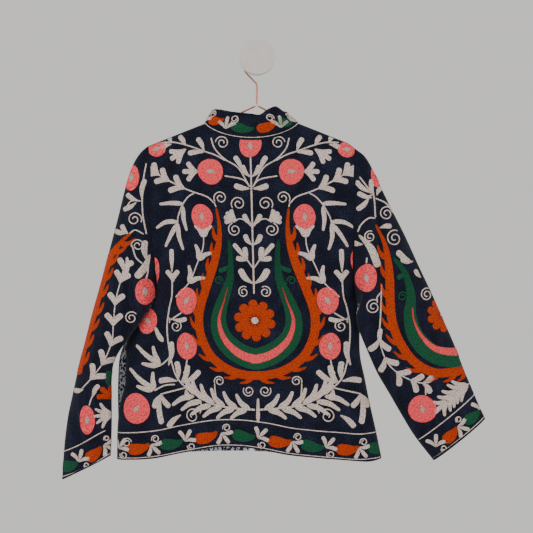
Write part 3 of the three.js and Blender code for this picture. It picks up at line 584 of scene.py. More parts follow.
class Finish:
    """A material whose nodes all come from one method."""

    def __init__(self, name):
        self.material = bpy.data.materials.new(name)
        self.material.use_nodes = True
        self.nodes = self.material.node_tree.nodes
        self.nodes.clear()

    def node(self, kind, settings=None, values=()):
        made = self.nodes.new(kind)
        for key, value in (settings or {}).items():
            setattr(made, key, value)
        pairs = values.items() if isinstance(values, dict) else enumerate(values)
        named = {s.identifier: s for s in made.inputs}
        for key, value in pairs:
            socket = made.inputs[key] if isinstance(key, int) else named[key]
            if isinstance(value, Shade):
                self.material.node_tree.links.new(value.socket, socket)
            else:
                socket.default_value = value
        return {s.identifier: Shade(self, s) for s in made.outputs}

    def blend(self, a, b, share):
        values = {"Factor_Float": share, "A_Color": a, "B_Color": b}
        return self.node("ShaderNodeMix", {"data_type": "RGBA"}, values)["Result_Color"]

    def noise(self, where, scale, detail):
        values = {"Vector": where, "Scale": scale, "Detail": detail}
        return self.node("ShaderNodeTexNoise", {}, values)["Fac"]

    def map(self):
        """The piece's own map, which follows its surface."""
        return self.node("ShaderNodeUVMap", {"uv_map": "cloth"})["UV"]

    def bump(self, strength, distance, height):
        values = {"Strength": strength, "Distance": distance, "Height": height}
        return self.node("ShaderNodeBump", {}, values)["Normal"]

    def done(self, **values):
        words = {key.replace("_", " "): value for key, value in values.items()}
        shader = self.node("ShaderNodeBsdfPrincipled", {}, words)
        self.node("ShaderNodeOutputMaterial", {}, {"Surface": shader["BSDF"]})
        return self.material


def linear(red, green, blue):
    """A colour given as it looks on a screen, 0 to 255, as the shader's linear light."""
    c = np.array([red, green, blue]) / 255
    return (*np.where(c <= 0.04045, c / 12.92, ((c + 0.055) / 1.055) ** 2.4), 1.0)


# %% [markdown]
# ### Denim, lining and thread
# Denim is a twill, so fine slanting ribs cross it, and the dye has worn unevenly. The lining is
# white cotton with small blue sprigs, drawn as stretched cells. Embroidery thread lies in rows of
# chain stitch: the thread's own map counts stitches along and rows across, and each stitch is a
# small rounded loop with a groove round it. Painted shade darkens the thread's colour in the
# grooves, and painted light lifts it on the loops' crests.

# %% Cloth finishes


RIB = 0.0011  # metres from one rib of the twill to the next


def denim_finish():
    finish = Finish("denim")
    cloth = finish.map()
    axes = finish.node("ShaderNodeSeparateXYZ", {}, {"Vector": cloth})
    rib = ((axes["X"] + axes["Y"]) * (2 * np.pi / RIB)).maths("SINE") * 0.5 + 0.5
    worn = finish.noise(cloth, 26.0, 4.0)
    slub = finish.noise(cloth, 420.0, 2.0)
    share = (worn - 0.4) * 1.5 + (slub - 0.5) * 3
    base = finish.blend(linear(8, 11, 25), linear(37, 41, 66), share)
    height = rib * 0.6 + slub * 0.4
    return finish.done(Base_Color=base, Roughness=0.92, Normal=finish.bump(0.35, 0.0004, height),
                       Sheen_Weight=0.06, Specular_IOR_Level=0.14)


def lining_finish():
    finish = Finish("lining_print")
    cloth = finish.map()
    wander = finish.noise(cloth, 60.0, 2.0)
    bent = finish.node("ShaderNodeVectorMath", {"operation": "MULTIPLY"}, [cloth, (1.0, 0.6, 1.0)])
    cells = finish.node("ShaderNodeTexVoronoi", {},
                        {"Vector": bent["Vector"], "Scale": 300.0, "Randomness": 0.9})
    sprig = (0.6 - cells["Distance"] + (wander - 0.5) * 0.9) * 14.0
    share = sprig.maths("MINIMUM", 1.0).maths("MAXIMUM", 0.0)
    base = finish.blend(linear(198, 201, 206), linear(24, 33, 68), share)
    return finish.done(Base_Color=base, Roughness=0.85, Specular_IOR_Level=0.2)


def thread_finish(name, colour, shade):
    finish = Finish(name)
    stitch = finish.map()
    axes = finish.node("ShaderNodeSeparateXYZ", {}, {"Vector": stitch})
    off = (axes["Y"].maths("FRACT") - 0.5).maths("ABSOLUTE") * 2
    loop = (axes["X"] + off * 0.45).maths("FRACT")
    crest = (loop * np.pi).maths("SINE") ** 0.45
    # height is the stitches' relief for the bump, and below it also drives painted shade in the
    # colour.
    height = (1 - off * off) * 0.6 + crest * 0.4
    place = finish.node("ShaderNodeTexCoord")["Object"]
    tint = finish.noise(place, 120.0, 3.0)
    dashes = finish.noise(stitch, 0.9, 2.0)
    # Painted shade and light: the colour falls to the darker shade where height is low, in the
    # grooves between rows and stitches, and rises on the crests. tint and dashes add random tone.
    share = height * 0.7 + tint * 0.3 + (dashes - 0.5) * 2.8
    base = finish.blend(shade, colour, share)
    return finish.done(Base_Color=base, Roughness=0.82, Normal=finish.bump(0.6, 0.0007, height),
                       Sheen_Weight=0.04, Specular_IOR_Level=0.18)


DENIM, LINING = denim_finish(), lining_finish()
# Each thread has its colour and a darker copy of it. The darker one is painted shade in the
# stitches' grooves, and also the dark end of their random tone.
THREADS = {
    "cream": thread_finish("cream_thread", linear(228, 209, 199), linear(122, 103, 98)),
    "orange": thread_finish("orange_thread", linear(194, 62, 10), linear(104, 24, 6)),
    "green": thread_finish("green_thread", linear(12, 84, 54), linear(4, 38, 28)),
    "pink": thread_finish("pink_thread", linear(255, 92, 96), linear(166, 34, 46)),
    "grey": thread_finish("grey_thread", linear(190, 176, 166), linear(92, 82, 78)),
}
print("threads", list(THREADS))

# %% [markdown]
# ## The sewn pieces
# The back, two fronts, two sleeves and the collar, each a piece of its own as a maker cuts them.
# The sleeves and the body meet on the same armhole curve, so no gap shows at the seam.

# %% Body, sleeves and collar
FINISHES = [DENIM, LINING]


def seam_inward(grid, left, right):
    """The cloth's thickness runs against the normal, but straight inwards at the side seams."""
    inward = -CLOTH * grid_normals(grid, False)
    for column, direction in ((0, left), (-1, right)):
        if direction:
            inward[ARM_ROWS:, column] = (direction * CLOTH, 0, 0)
    return inward


back = cloth_shell("cloth_back", back_grid, False, FINISHES, seam_inward(back_grid, 1, -1))
front_left = cloth_shell("cloth_front_left", front_left_grid, False, FINISHES,
                         seam_inward(front_left_grid, 0, 1))
front_right = cloth_shell("cloth_front_right", front_right_grid, False, FINISHES,
                          seam_inward(front_right_grid, -1, 0))
sleeve_left = cloth_shell("cloth_sleeve_left", sleeve_grids[-1], True, FINISHES)
sleeve_right = cloth_shell("cloth_sleeve_right", sleeve_grids[1], True, FINISHES)
collar = cloth_shell("cloth_collar", collar_grid, False, [DENIM, DENIM])
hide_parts("back")
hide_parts("front_left", "lining_left")
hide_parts("front_right", "lining_right")
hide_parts("sleeve_left")
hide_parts("sleeve_right")
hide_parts("collar")
for piece in (back, front_left, front_right, sleeve_left, sleeve_right, collar):
    print(piece.name, len(piece.data.polygons), "faces")

# %% [markdown]
# ## Hanger and knob
# The hanger is one copper wire, and the knob a turned disc on a stem. A wire is a small circle
# carried along a path, and a turned part is a profile carried round an axis.

# %% Wire and knob finishes


def copper_finish():
    finish = Finish("copper_wire")
    place = finish.node("ShaderNodeTexCoord")["Object"]
    worn = finish.noise(place, 90.0, 3.0)
    base = finish.blend(linear(168, 104, 76), linear(204, 140, 108), worn)
    return finish.done(Base_Color=base, Roughness=worn * 0.2 + 0.24, Metallic=1.0)


def painted_finish():
    finish = Finish("painted_wood")
    place = finish.node("ShaderNodeTexCoord")["Object"]
    brushed = finish.noise(place, 140.0, 3.0)
    base = finish.blend(linear(192, 184, 178), linear(208, 202, 196), brushed)
    return finish.done(Base_Color=base, Roughness=0.5, Normal=finish.bump(0.12, 0.0006, brushed))


COPPER, PAINTED = copper_finish(), painted_finish()

# %% Wire and knob
WIRE_R, WIRE_SIDES, WIRE_STEP = 1.6, 14, 1.5
HOOK_R = 24.5  # the hook's middle line
HOOK_END, HOOK_LEAVES = -15, 228  # degrees, from its free end to where it runs into the shank
SHANK_X, SHANK_TOP_Z, SHANK_END_Z = -0.5, -50, -89
ARM_REACH = 172
ARM_BEND = 10
ARM_SEATED = 30  # from the neck point out to where the arm meets the shoulder
ARM_DROP = 5.2  # the wire's middle below the shoulder line
NECK_DROP = 8.5  # and below the neck points
BAR_DROP = 20
BAR_HALF = 157
KNOB_R, STEM_R, KNOB_SIDES = 32.7, 9, 72
SEAT_GAP = 0.3  # between the hook and the knob's stem


def arm_z(x):
    return shoulder_z(x) - ARM_DROP


BAR_Z = arm_z(ARM_REACH) - BAR_DROP


def round_wire(name, places):
    """A circle carried along a path of x and z in the hanger's plane, with round ends."""
    path = smooth_line([(x, HANG_Y, z) for x, z in places], WIRE_STEP)
    depth = np.array([0.0, 1.0, 0.0])
    side = np.cross(unit(np.gradient(path, axis=0)), depth)
    ends = WIRE_R * np.array([0.02, 0.6, 0.88])
    size = np.concatenate([ends, np.full(len(path) - 2 * len(ends), WIRE_R), ends[::-1]])
    turn = np.linspace(0, 2 * np.pi, WIRE_SIDES, endpoint=False)[None, :, None]
    ring = np.cos(turn) * side[:, None, :] + np.sin(turn) * depth
    points = path[:, None, :] + size[:, None, None] * ring
    return new_mesh(name, points.reshape(-1, 3), grid_faces(len(path), WIRE_SIDES, True), [COPPER])


hook_turns = np.radians(np.linspace(HOOK_END, HOOK_LEAVES, 26))
loop_z = STEM_R + SEAT_GAP + WIRE_R - HOOK_R
loop = [(HOOK_R * np.cos(a), loop_z + HOOK_R * np.sin(a)) for a in hook_turns]
shank = [(SHANK_X - 6, SHANK_TOP_Z + 8), (SHANK_X, SHANK_TOP_Z), (SHANK_X, -70),
         (SHANK_X, SHANK_END_Z)]
hook = round_wire("wire_hook", [*loop, *shank])
for side, name, shows in ((-1, "left", (-35, -104)), (1, "right", (20, -98.8))):
    neck_x = CENTRE_X + side * NECK_HALF
    seated = np.linspace(neck_x + side * ARM_SEATED, side * (ARM_REACH - ARM_BEND), 4)
    round_wire("wire_arm_" + name, [
        (SHANK_X + side * 0.9, SHANK_END_Z + 0.5), shows, (neck_x, NECK_POINT_Z - NECK_DROP),
        *((x, arm_z(x)) for x in seated),
        (side * ARM_REACH, mix(arm_z(ARM_REACH), BAR_Z, 0.45)),
        (side * (ARM_REACH - ARM_BEND), BAR_Z), (side * (BAR_HALF - 0.5), BAR_Z),
    ])
bar = round_wire("wire_bar", [(x, BAR_Z) for x in (-BAR_HALF, -60, 60, BAR_HALF)])

knob_profile = smooth_line(
    [(0.01, 0), (20, 0), (20, -3), (19, -4), (10, -5), (STEM_R, -7), (STEM_R, -26.9),
     (31.1, -27), (32.4, -27.6), (KNOB_R, -29), (KNOB_R, -37), (32.3, -38.6), (31, -39),
     (20, -39.2), (0.01, -39.2)],
    0.9,
)
knob_turn = np.linspace(0, 2 * np.pi, KNOB_SIDES, endpoint=False)
knob_points = np.stack(
    [knob_profile[:, :1] * np.cos(knob_turn), knob_profile[:, 1:] + 0 * knob_turn,
     knob_profile[:, :1] * np.sin(knob_turn)],
    axis=-1,
)
knob = new_mesh("turned_knob", knob_points.reshape(-1, 3),
                grid_faces(len(knob_profile), KNOB_SIDES, True)[:, ::-1], [PAINTED])
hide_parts("hanger_hook")
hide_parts("hanger_arm_left")
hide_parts("hanger_arm_right")
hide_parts("hanger_bar")
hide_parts("wall_knob")

# %% [markdown]
# ## Embroidery: rows of chain stitch
# The real cloth is covered with rows of chain stitch that stand nearly a millimetre proud. A
# picture on the cloth would look flat from the side, so each motif is a low ribbon with a ridge
# for every row. A motif is first drawn flat, in millimetres, as seen from the front of its panel.

# %% Bands of stitches
ROW = 1.9  # width of a row
STITCH = 2.6  # length of a stitch
BAND_STEP = 1.8  # from one cross-section of a band to the next
SUNK = -0.3  # a motif's edge lies just inside the cloth


def band(colour, points, half, shape=None, lift=0.9):
    """A smooth line with a half width that rounds off at both ends, ridged once for every row."""
    path = smooth_line(points, BAND_STEP)
    run = run_along(path)
    side = to_the_left(unit(np.gradient(path, axis=0)))
    ends = quarter_round(np.minimum(run, run[-1] - run) / half)
    width = half * np.maximum(ends, 0.03) * (1 if shape is None else shape(run / run[-1]))
    rows = max(1, round(2 * half / ROW))
    across = np.linspace(-1, 1, 2 * max(rows, 2) + 1)
    ridges = np.abs(np.sin(np.pi * rows * (across + 1) / 2))
    height = lift * (0.6 + 0.4 * ridges) * (0.4 + 0.6 * ends[:, None])
    height[:, [0, -1]] = SUNK
    height[[0, -1]] = SUNK
    flat = path[:, None] + (width[:, None] * across)[..., None] * side[:, None]
    stitches = np.broadcast_arrays(run[:, None] / STITCH, rows * (across + 1) / 2)
    return {"colour": colour, "flat": flat, "height": height, "map": np.stack(stitches, axis=-1)}


def disc(colour, x, z, wide, tall, lift=1.0, tilt=0):
    """Rings of stitches round a point: a hand-drawn ellipse, wide by tall in half sizes, tilted."""
    rows = max(2, round(min(wide, tall) / ROW))
    out = np.linspace(0.01, 1, 2 * rows + 1)[:, None]
    turn = np.linspace(0, 2 * np.pi, 45)[None, :]
    wobble = 1 + 0.025 * np.sin(2 * turn + x) + 0.02 * np.sin(3 * turn + z)
    u, v = wide * out * wobble * np.cos(turn), tall * out * wobble * np.sin(turn)
    c, s = pointing(tilt)
    flat = np.stack([x + c * u - s * v, z + s * u + c * v], axis=-1)
    height = lift * (0.6 + 0.4 * np.abs(np.sin(np.pi * rows * out))) + 0 * turn
    height[-1] = SUNK
    around = turn / 2 * (wide + tall) / 2 / STITCH + 0 * out
    stitches = np.stack([around, rows * out + 0 * turn], axis=-1)
    return {"colour": colour, "flat": flat, "height": height, "map": stitches}


print("a 20 mm stem has", band("cream", [(0, 0), (20, 0)], 1.3)["height"].shape, "points")

# %% [markdown]
# ## Embroidery: motifs
# All motifs are the ordinary ones of this traditional craft: leaves, fans of leaves, sprigs,
# spirals, discs with a seed, a rosette, buds and flame-edged bands. Each is a few bands or a disc,
# so the whole garden comes from two shapes. Angles are in degrees, 0 to the right and 90 up.

# %% Motifs


def club(t):
    return 0.32 + 0.68 * ease(t / 0.62)


def spear(t):
    return (0.5 + 0.5 * ease(t / 0.25)) * (1 - 0.4 * ease((t - 0.3) / 0.7))


def tooth(t):
    return 1 - 0.74 * ease(t / 1.1)


def leaf(colour, x, z, angle, length, half, bend=0.1, shape=club):
    """Narrow at its base and round at its tip, bent to the left by a share of its length."""
    along = pointing(angle)
    side = to_the_left(along)
    base = np.array([x, z], float)
    middle = base + length * (0.5 * along + bend * side)
    return band(colour, [base, middle, base + length * along], half, shape)


def fan(x, z, angle, spread, count, length, half, colour="cream", shape=club):
    """Leaves from one point, spread to both sides of the angle."""
    sides = np.linspace(-1, 1, count)
    return [
        leaf(colour, x, z, angle + spread * s, length * (1 - 0.1 * abs(s)), half, -0.1 * s, shape)
        for s in sides
    ]


def sprig(points, count, length, half, spread=40, tip=True, shape=club):
    """A stem with pairs of leaves at even distances, shorter towards its tip."""
    line = smooth_line(points, 1.5)
    made = [band("cream", points, 1.4)]
    for k in range(count):
        t = (k + 0.75) / (count + 0.1)
        i = min(int(t * (len(line) - 1)), len(line) - 2)
        angle = heading(line[i + 1] - line[i])
        size = length * (1 - 0.22 * t)
        made += [leaf("cream", *line[i], angle + spread * s, size, half, -0.1 * s, shape)
                 for s in (-1, 1)]
    if tip:
        made.append(leaf("cream", *line[-1], heading(line[-1] - line[-4]), 0.8 * length, half, 0))
    return made


def spiral(x, z, radius, start, turns=1.7, hand=1, colour="cream"):
    """The radius falls evenly while the angle turns, from its free outer end inwards."""
    t = np.linspace(0, 1, int(9 * turns) + 5)
    reach = mix(radius, 2.6, t)
    around = pointing(start + hand * 360 * turns * t)
    return band(colour, (x, z) + (reach * around).T, 1.3)


def seeded_disc(x, z, wide, tall, tilt=0):
    """A pink disc with an oval grey seed in its middle."""
    return [disc("pink", x, z, wide, tall), disc("grey", x, z, 4.2, 8.2, 1.8, tilt)]


def rosette(x, z, reach, count, start=90, first=0, last=360):
    """Petals round a pale centre; only those whose angle is between first and last."""
    half = 0.245 * reach * 9 / count
    turns = [start + 360 * k / count for k in range(count)]
    made = []
    for turn in turns:
        if first <= turn % 360 <= last:
            foot = (x, z) + 0.14 * reach * pointing(turn)
            made.append(leaf("orange", *foot, turn, 0.86 * reach, half, 0))
    return [*made, disc("cream", x, z, 0.17 * reach, 0.17 * reach, 1.9)]


def flame(points, half, count, hand, length=22):
    """An orange band with teeth on one side, which lean back towards the band's first end."""
    line = smooth_line(points, 1.5)
    made = [band("orange", points, half, lambda t: 0.3 + 0.7 * ease(t / 0.3))]
    for k in range(count):
        i = int((0.13 + 0.87 * (k + 0.5) / count) * (len(line) - 2))
        back = unit(line[i] - line[i + 1])
        side = -hand * to_the_left(back)
        foot = line[i] + 0.3 * half * side
        angle = heading(back + 0.46 * side)
        made.append(leaf("orange", *foot, angle, length, 0.66 * half, -0.12 * hand, tooth))
    return made


def bud(x, z, angle, length, half, colour):
    """A bud: round at its foot and drawn out to a bent tip."""
    along, side = pointing(angle), to_the_left(pointing(angle))
    points = [np.array([x, z]) + length * (a * along + b * side)
              for a, b in ((-0.5, 0.06), (-0.1, -0.04), (0.28, -0.02), (0.5, 0.1))]
    return band(colour, points, half, lambda t: 1 - 0.6 * ease((t - 0.4) / 0.6))


def stems(routes, half):
    """A thin cream band along each route."""
    return [band("cream", route, half) for route in routes]


def leaves(rows, *shared):
    """A cream leaf for each row, which says the first of its values, and the rest is shared."""
    return [leaf("cream", *row, *shared) for row in rows]


def spirals(rows, turns):
    """A cream spiral for each row of x, z, radius, start and hand."""
    return [spiral(*row[:-1], turns, row[-1]) for row in rows]


def mirrored(strokes):
    """The same motifs on the other side of the drawing's middle line, still facing outwards."""
    made = []
    for s in strokes:
        flat = s["flat"][:, ::-1] * (-1, 1)
        made.append(dict(s, flat=flat, height=s["height"][:, ::-1], map=s["map"][:, ::-1]))
    return made


def shifted(strokes, middle):
    """The same motifs moved sideways: middle gives how far, for each place of the drawing."""
    made = []
    for s in strokes:
        x, z = s["flat"][..., 0], s["flat"][..., 1]
        made.append(dict(s, flat=np.stack([x + middle(x, z), z], axis=-1)))
    return made


print("a fan of three leaves:", len(fan(0, 0, 90, 30, 3, 20, 5)), "bands")

# %% [markdown]
# ## Embroidery: from the drawing to the cloth
# Each panel has a function that takes a point of the drawing to the place on its cloth and gives
# the direction out of it. Points past a seam are brought back to it, as stitches end at a seam.

# %% Places on the cloth
EDGE = 2.5  # motifs end this far from a seam


def panel_top(panel, x):
    """The upper edge of a panel: the shoulder line, cut by the neck."""
    aside = clamp(np.abs(x - CENTRE_X) / NECK_HALF)
    drop, curve = BACK_NECK_DROP, BACK_NECK_CURVE
    if panel == "front":
        drop, curve = FRONT_NECK_DROP, FRONT_NECK_CURVE
    neck = NECK_POINT_Z - drop * np.sqrt(1 - aside**2) ** curve
    return np.where(aside < 1, neck, shoulder_z(x))


def on_panel(panel, near_side=None, clear=EDGE):
    """Places on the back, or on the front at near_side of the opening, clear of its edge."""
    out = DEPTH[panel]["out"]

    def place(x, z):
        z = np.maximum(z, read(HEM, "x", x, panel) + EDGE)
        left, right = edge_x(-1, panel, z) + EDGE, edge_x(1, panel, z) - EDGE
        if near_side == "left":
            right = CENTRE_X - FRONT_GAP / 2 - clear + 0 * z
        if near_side == "right":
            left = CENTRE_X + FRONT_GAP / 2 + clear + 0 * z
        x = np.clip(x, left, right)
        z = np.minimum(z, panel_top(panel, x) - EDGE)
        y = panel_y(panel, x, z)
        slope_x = panel_y(panel, x + 0.5, z) - panel_y(panel, x - 0.5, z)
        slope_z = panel_y(panel, x, z + 0.5) - panel_y(panel, x, z - 0.5)
        normal = unit(np.stack([-out * slope_x, out + 0 * x, -out * slope_z], axis=-1))
        return np.stack([x, y, z], axis=-1), normal

    return place


def on_sleeve(side, wall):
    """Places on a sleeve: the cross-section through the point, then the turn round it."""
    shares = np.linspace(0, 1, 80)
    low, high = (np.pi + 0.2, 2 * np.pi - 0.2) if wall else (0.2, np.pi - 0.2)
    outer_edge, inner_edge = sleeve_section(side, shares, 0.0), sleeve_section(side, shares, np.pi)

    def place(x, z):
        wanted = np.stack([x, z], axis=-1)
        start, span = outer_edge[:, ::2], inner_edge[:, ::2] - outer_edge[:, ::2]
        off = wanted[:, None] - start[None]
        turned = span[:, 0] * off[..., 1] - span[:, 1] * off[..., 0]
        crossing = turned[:, :-1] * turned[:, 1:] <= 0
        nearest = np.where(np.abs(turned[:, 0]) < np.abs(turned[:, -1]), 0, len(shares) - 2)
        k = np.where(crossing.any(1), crossing.argmax(1), nearest)
        one = np.arange(len(x))
        change = turned[one, k] - turned[one, k + 1]
        part = turned[one, k] / np.where(change == 0, 1, change)
        share = np.clip(shares[k] + clamp(part) * shares[1], 0.01, 0.993)
        foot = sleeve_section(side, share, 0.0)[:, ::2]
        across = sleeve_section(side, share, np.pi)[:, ::2] - foot
        c = ((wanted - foot) * across).sum(1) / (across**2).sum(1)
        turn = np.arccos(1 - 2 * np.clip(c, 0.01, 0.99))
        turn = 2 * np.pi - turn if wall else turn
        for _ in range(4):
            here = sleeve_point(side, share, turn)[:, ::2]
            by_share = (sleeve_point(side, share + 1e-3, turn)[:, ::2] - here) / 1e-3
            by_turn = (sleeve_point(side, share, turn + 1e-3)[:, ::2] - here) / 1e-3
            size = by_share[:, 0] * by_turn[:, 1] - by_share[:, 1] * by_turn[:, 0]
            size = np.where(np.abs(size) < 100, 100 * np.where(size < 0, -1, 1), size)
            miss = wanted - here
            step_share = (miss[:, 0] * by_turn[:, 1] - miss[:, 1] * by_turn[:, 0]) / size
            step_turn = (by_share[:, 0] * miss[:, 1] - by_share[:, 1] * miss[:, 0]) / size
            share = np.clip(share + np.clip(step_share, -0.08, 0.08), 0.01, 0.993)
            turn = np.clip(turn + np.clip(step_turn, -0.3, 0.3), low, high)
        point = sleeve_point(side, share, turn)
        down = sleeve_point(side, share + 1e-3, turn) - sleeve_point(side, share - 1e-3, turn)
        across = sleeve_point(side, share, turn + 1e-3) - sleeve_point(side, share, turn - 1e-3)
        return point, unit(-side * np.cross(down, across))

    return place


def on_collar(along, up):
    """Places on the collar: millimetres along the neck seam from the middle of the back, and up."""
    behind = np.minimum(np.abs(along), 100)
    at = np.sign(along) * (behind / 200 + (np.abs(along) - behind) / 280)
    at = np.clip(at, -0.985, 0.985)
    height = np.linalg.norm(collar_point(at, 1 + 0 * at) - collar_point(at, 0 * at), axis=-1)
    share = np.clip(up / height, 0.05, 0.95)
    point = collar_point(at, share)
    down = collar_point(at, share - 5e-3) - collar_point(at, share + 5e-3)
    across = collar_point(at + 1e-3, share) - collar_point(at - 1e-3, share)
    return point, unit(np.cross(down, across))


def sew(name, strokes, place, turned=False):
    """All the bands of one colour on one panel become one mesh, lifted off the cloth."""
    pieces = []
    for colour, thread in THREADS.items():
        mine = [s for s in strokes if s["colour"] == colour]
        if not mine:
            continue
        flat = np.concatenate([s["flat"].reshape(-1, 2) for s in mine])
        height = np.concatenate([s["height"].ravel() for s in mine])
        stitches = np.concatenate([s["map"].reshape(-1, 2) for s in mine])
        starts = np.cumsum([0, *(s["height"].size for s in mine)])
        quads = np.concatenate(
            [grid_faces(*s["height"].shape, False) + start for s, start in zip(mine, starts)]
        )
        point, normal = place(flat[:, 0], flat[:, 1])
        quads = quads[:, ::-1] if turned else quads
        piece = new_mesh(f"embroidery_{name}_{colour}", point + height[:, None] * normal, quads,
                         [thread], 0, stitches)
        pieces.append(piece)
        print(piece.name, len(mine), "motifs,", 2 * len(quads), "triangles")
    return pieces


# %% [markdown]
# ## The back's garden
# The pattern is nearly the same on both sides of the spine, so one half is drawn to the right of
# a middle line at 0 and mirrored. That line leans a little on the real jacket, and so it does
# here. A flame-edged horseshoe holds a green and pink crescent, sprigs climb beside it with discs
# as their fruit, and a garland closes it below.

# %% The horseshoe and the spine
half_garden = flame([(67, -280), (63, -316), (66, -349), (77, -388), (90, -424), (102, -458),
                     (107, -486), (103, -519), (86, -553), (58, -576), (25, -588), (-10, -590)],
                    8.2, 12, 1, 29)
half_garden += [
    band("green", [(46, -338), (43.5, -366), (43.5, -390), (46, -413), (54, -437), (63, -460),
                   (69, -484), (67, -508), (54, -531), (29, -550), (-1, -559.5), (-24, -553)], 20,
         lambda t: 0.2 + 0.8 * ease(t / 0.85)),
    band("pink", [(50, -426), (57, -450), (68, -484), (64, -512), (50, -534), (26, -552),
                  (-1, -559.5), (-13, -558)], 8.2, lambda t: 0.1 + 0.9 * ease(t / 0.9), lift=1.9),
    leaf("green", 44, -384, -30, 27, 4.6, -0.1),
    band("green", [(50, -430), (55, -422), (60, -419)], 1.5),
    spiral(67, -415, 8.5, 200, 1.4, -1, "green"),
]
for z, spread, length, half in ((-224, 33, 28, 4.8), (-312, 36, 25, 5), (-350, 34, 25, 5),
                                (-421, 42, 38, 6.2)):
    half_garden.append(leaf("cream", 1, z, 90 - spread, length, half, -0.1))
half_garden.append(leaf("cream", 2, -245, 12, 31, 5.4, -0.06))
half_garden.append(band("cream", [(1, -392), (12, -376)], 1.5))
for angle, length, half in ((50, 41, 4.4), (78, 26, 5), (12, 23, 5)):
    half_garden.append(leaf("cream", 11, -378, angle, length, half, 0))
half_garden += spirals([
    (20, -436, 11, 130, -1), (25, -273, 14, -40, 1), (34, -321, 13, 80, -1), (58, -262, 13, -40, 1),
    (52, -159, 13, 0, 1), (15, -618, 11, 40, -1), (71, -600, 10, 330, 1), (124, -664, 14, 150, -1),
    (152, -499, 12, 60, 1),
], 1.6)
half_garden += stems([
    [(1, -316), (12, -305), (24, -301), (36, -308)], [(30, -303), (37, -294), (37, -282)],
    [(67, -280), (70, -270)], [(112, -632), (106, -645), (110, -660)],
    [(78, -628), (80, -612), (80, -604)], [(164, -482), (164, -494)],
], 1.4)
half_garden += fan(29, -305, 28, 36, 4, 27, 4.4)
print("horseshoe and spine:", len(half_garden), "motifs")

# %% The upper branches
half_garden += stems([
    [(3, -242), (23, -207), (48, -190), (66, -170), (73, -149)],
    [(46, -193), (66, -182), (86, -175), (113, -165), (140, -158), (166, -158)],
    [(2, -242), (16, -228), (50, -221)],
    [(70, -272), (83, -260), (108, -251), (134, -240), (160, -225)],
    [(106, -253), (118, -260), (130, -275), (140, -296), (143, -312)],
], 1.5)
half_garden += seeded_disc(75, -213, 24, 24, 90) + seeded_disc(95, -297, 20, 24, -4)
half_garden += leaves([
    (17, -211, 64, 30), (86, -175, 64, 29), (86, -177, -4, 31), (120, -165, 58, 24),
    (146, -160, 60, 22), (146, -161, -20, 26),
], 5, 0.06)
half_garden += fan(119, -170, -34, 26, 3, 37, 4.8) + fan(98, -213, 0, 42, 3, 30, 4.8)
half_garden += sprig([(104, -253), (132, -241), (160, -226), (174, -217)], 3, 34, 5.4, 32)
for x, z, angle, length, bend in ((127, -273, -1, 47, 0.04), (129, -277, -94, 47, 0.06),
                                  (141, -306, -16, 46, 0.12), (142, -308, -59, 53, 0.02),
                                  (142, -308, -99, 52, 0.07)):
    half_garden.append(leaf("cream", x, z, angle, length, 4.5, bend, spear))
print("with the branches:", len(half_garden))

# %% The side sprigs
half_garden += sprig([(152, -446), (124, -418), (109, -386), (96, -354), (94, -318)], 3, 36, 5,
                     36, False, spear)
half_garden += fan(156, -419, 90, 28, 2, 29, 4.8) + [leaf("cream", 157, -400, 90, 44, 4.6, 0)]
half_garden += seeded_disc(130, -452, 20.5, 24.5, 30) + seeded_disc(132, -536, 19.5, 25, -8)
half_garden += stems([
    [(157, -400), (158, -440), (164, -466), (169, -500), (166, -540), (160, -572), (149, -598),
     (122, -624)],
    [(132, -560), (136, -582), (144, -603)], [(140, -474), (150, -480), (163, -488)],
    [(136, -612), (160, -618), (184, -624)],
], 1.6)
half_garden.append(leaf("cream", 160, -486, 178, 30, 4.4, 0.1))
half_garden += leaves([
    (168, -572, 98, 46), (151, -600, 88, 37), (151, -600, 0, 37), (142, -604, 146, 42),
    (142, -604, 108, 36), (140, -608, 186, 24), (184, -624, -124, 30), (184, -624, -62, 30),
    (184, -622, -90, 58), (136, -614, 250, 22), (146, -662, -42, 36),
], 5.4, 0.07)
print("with the side sprigs:", len(half_garden))

# %% The garland
garland = smooth_line([(136, -611), (114, -626), (85, -642), (43, -650), (-2, -653)], 2.0)
half_garden.append(band("cream", garland[::6], 2))
for k in range(6):
    x, z = garland[int((0.27 + 0.13 * k) * (len(garland) - 1))]
    half_garden.append(leaf("cream", x, z, 62 - 3 * k, 52 - 2.4 * k, 5.4, -0.12, spear))
    half_garden.append(leaf("cream", x + 6, z - 1, -22 - k, 48 - 2 * k, 5.4, 0.1, spear))


def spine(x, z):
    """The middle line leans 26 mm in a metre, and below it all sways a little to the right."""
    return -10.5 + 0.026 * (-242 - z) + 0.042 * np.abs(x) * ease((-230 - z) / 120)


back_garden = shifted(half_garden + mirrored(half_garden), spine)
stem = [(spine(0, z), z) for z in (-186, -250, -320, -380, -440)]
back_garden.append(band("cream", stem, 1.8))
back_garden.append(disc("pink", -12.5, -162, 21, 25))
back_garden.append(disc("grey", -12.5, -165, 4, 8, 1.8))
back_garden += rosette(-4, -488.5, 39, 10, 96)
back_garden.append(leaf("cream", 2, -677, 90, 46, 3.8, 0, spear))
print("motifs on the back:", len(back_garden))

# %% The left side of the back has room for more
back_garden += seeded_disc(-222, -651, 25.5, 28, -50) + seeded_disc(-203, -489, 19, 24, 45)
back_garden += seeded_disc(-190, -396, 10, 24) + seeded_disc(182, -376, 9, 18)
back_garden += seeded_disc(-187, -170, 17, 15, 100) + seeded_disc(167, -171, 17, 15, 80)
back_garden += stems([
    [(-160, -556), (-176, -570), (-190, -574)], [(-150, -606), (-170, -608), (-190, -618)],
], 1.6)
back_garden += leaves([
    (-176, -570, 142, 60), (-178, -570, 112, 38), (-180, -571, 174, 34), (-188, -616, 140, 62),
    (-188, -616, 96, 34), (-190, -617, 166, 34), (-172, -528, 120, 32),
], 5, 0.06, spear)
print("with the left side:", len(back_garden))

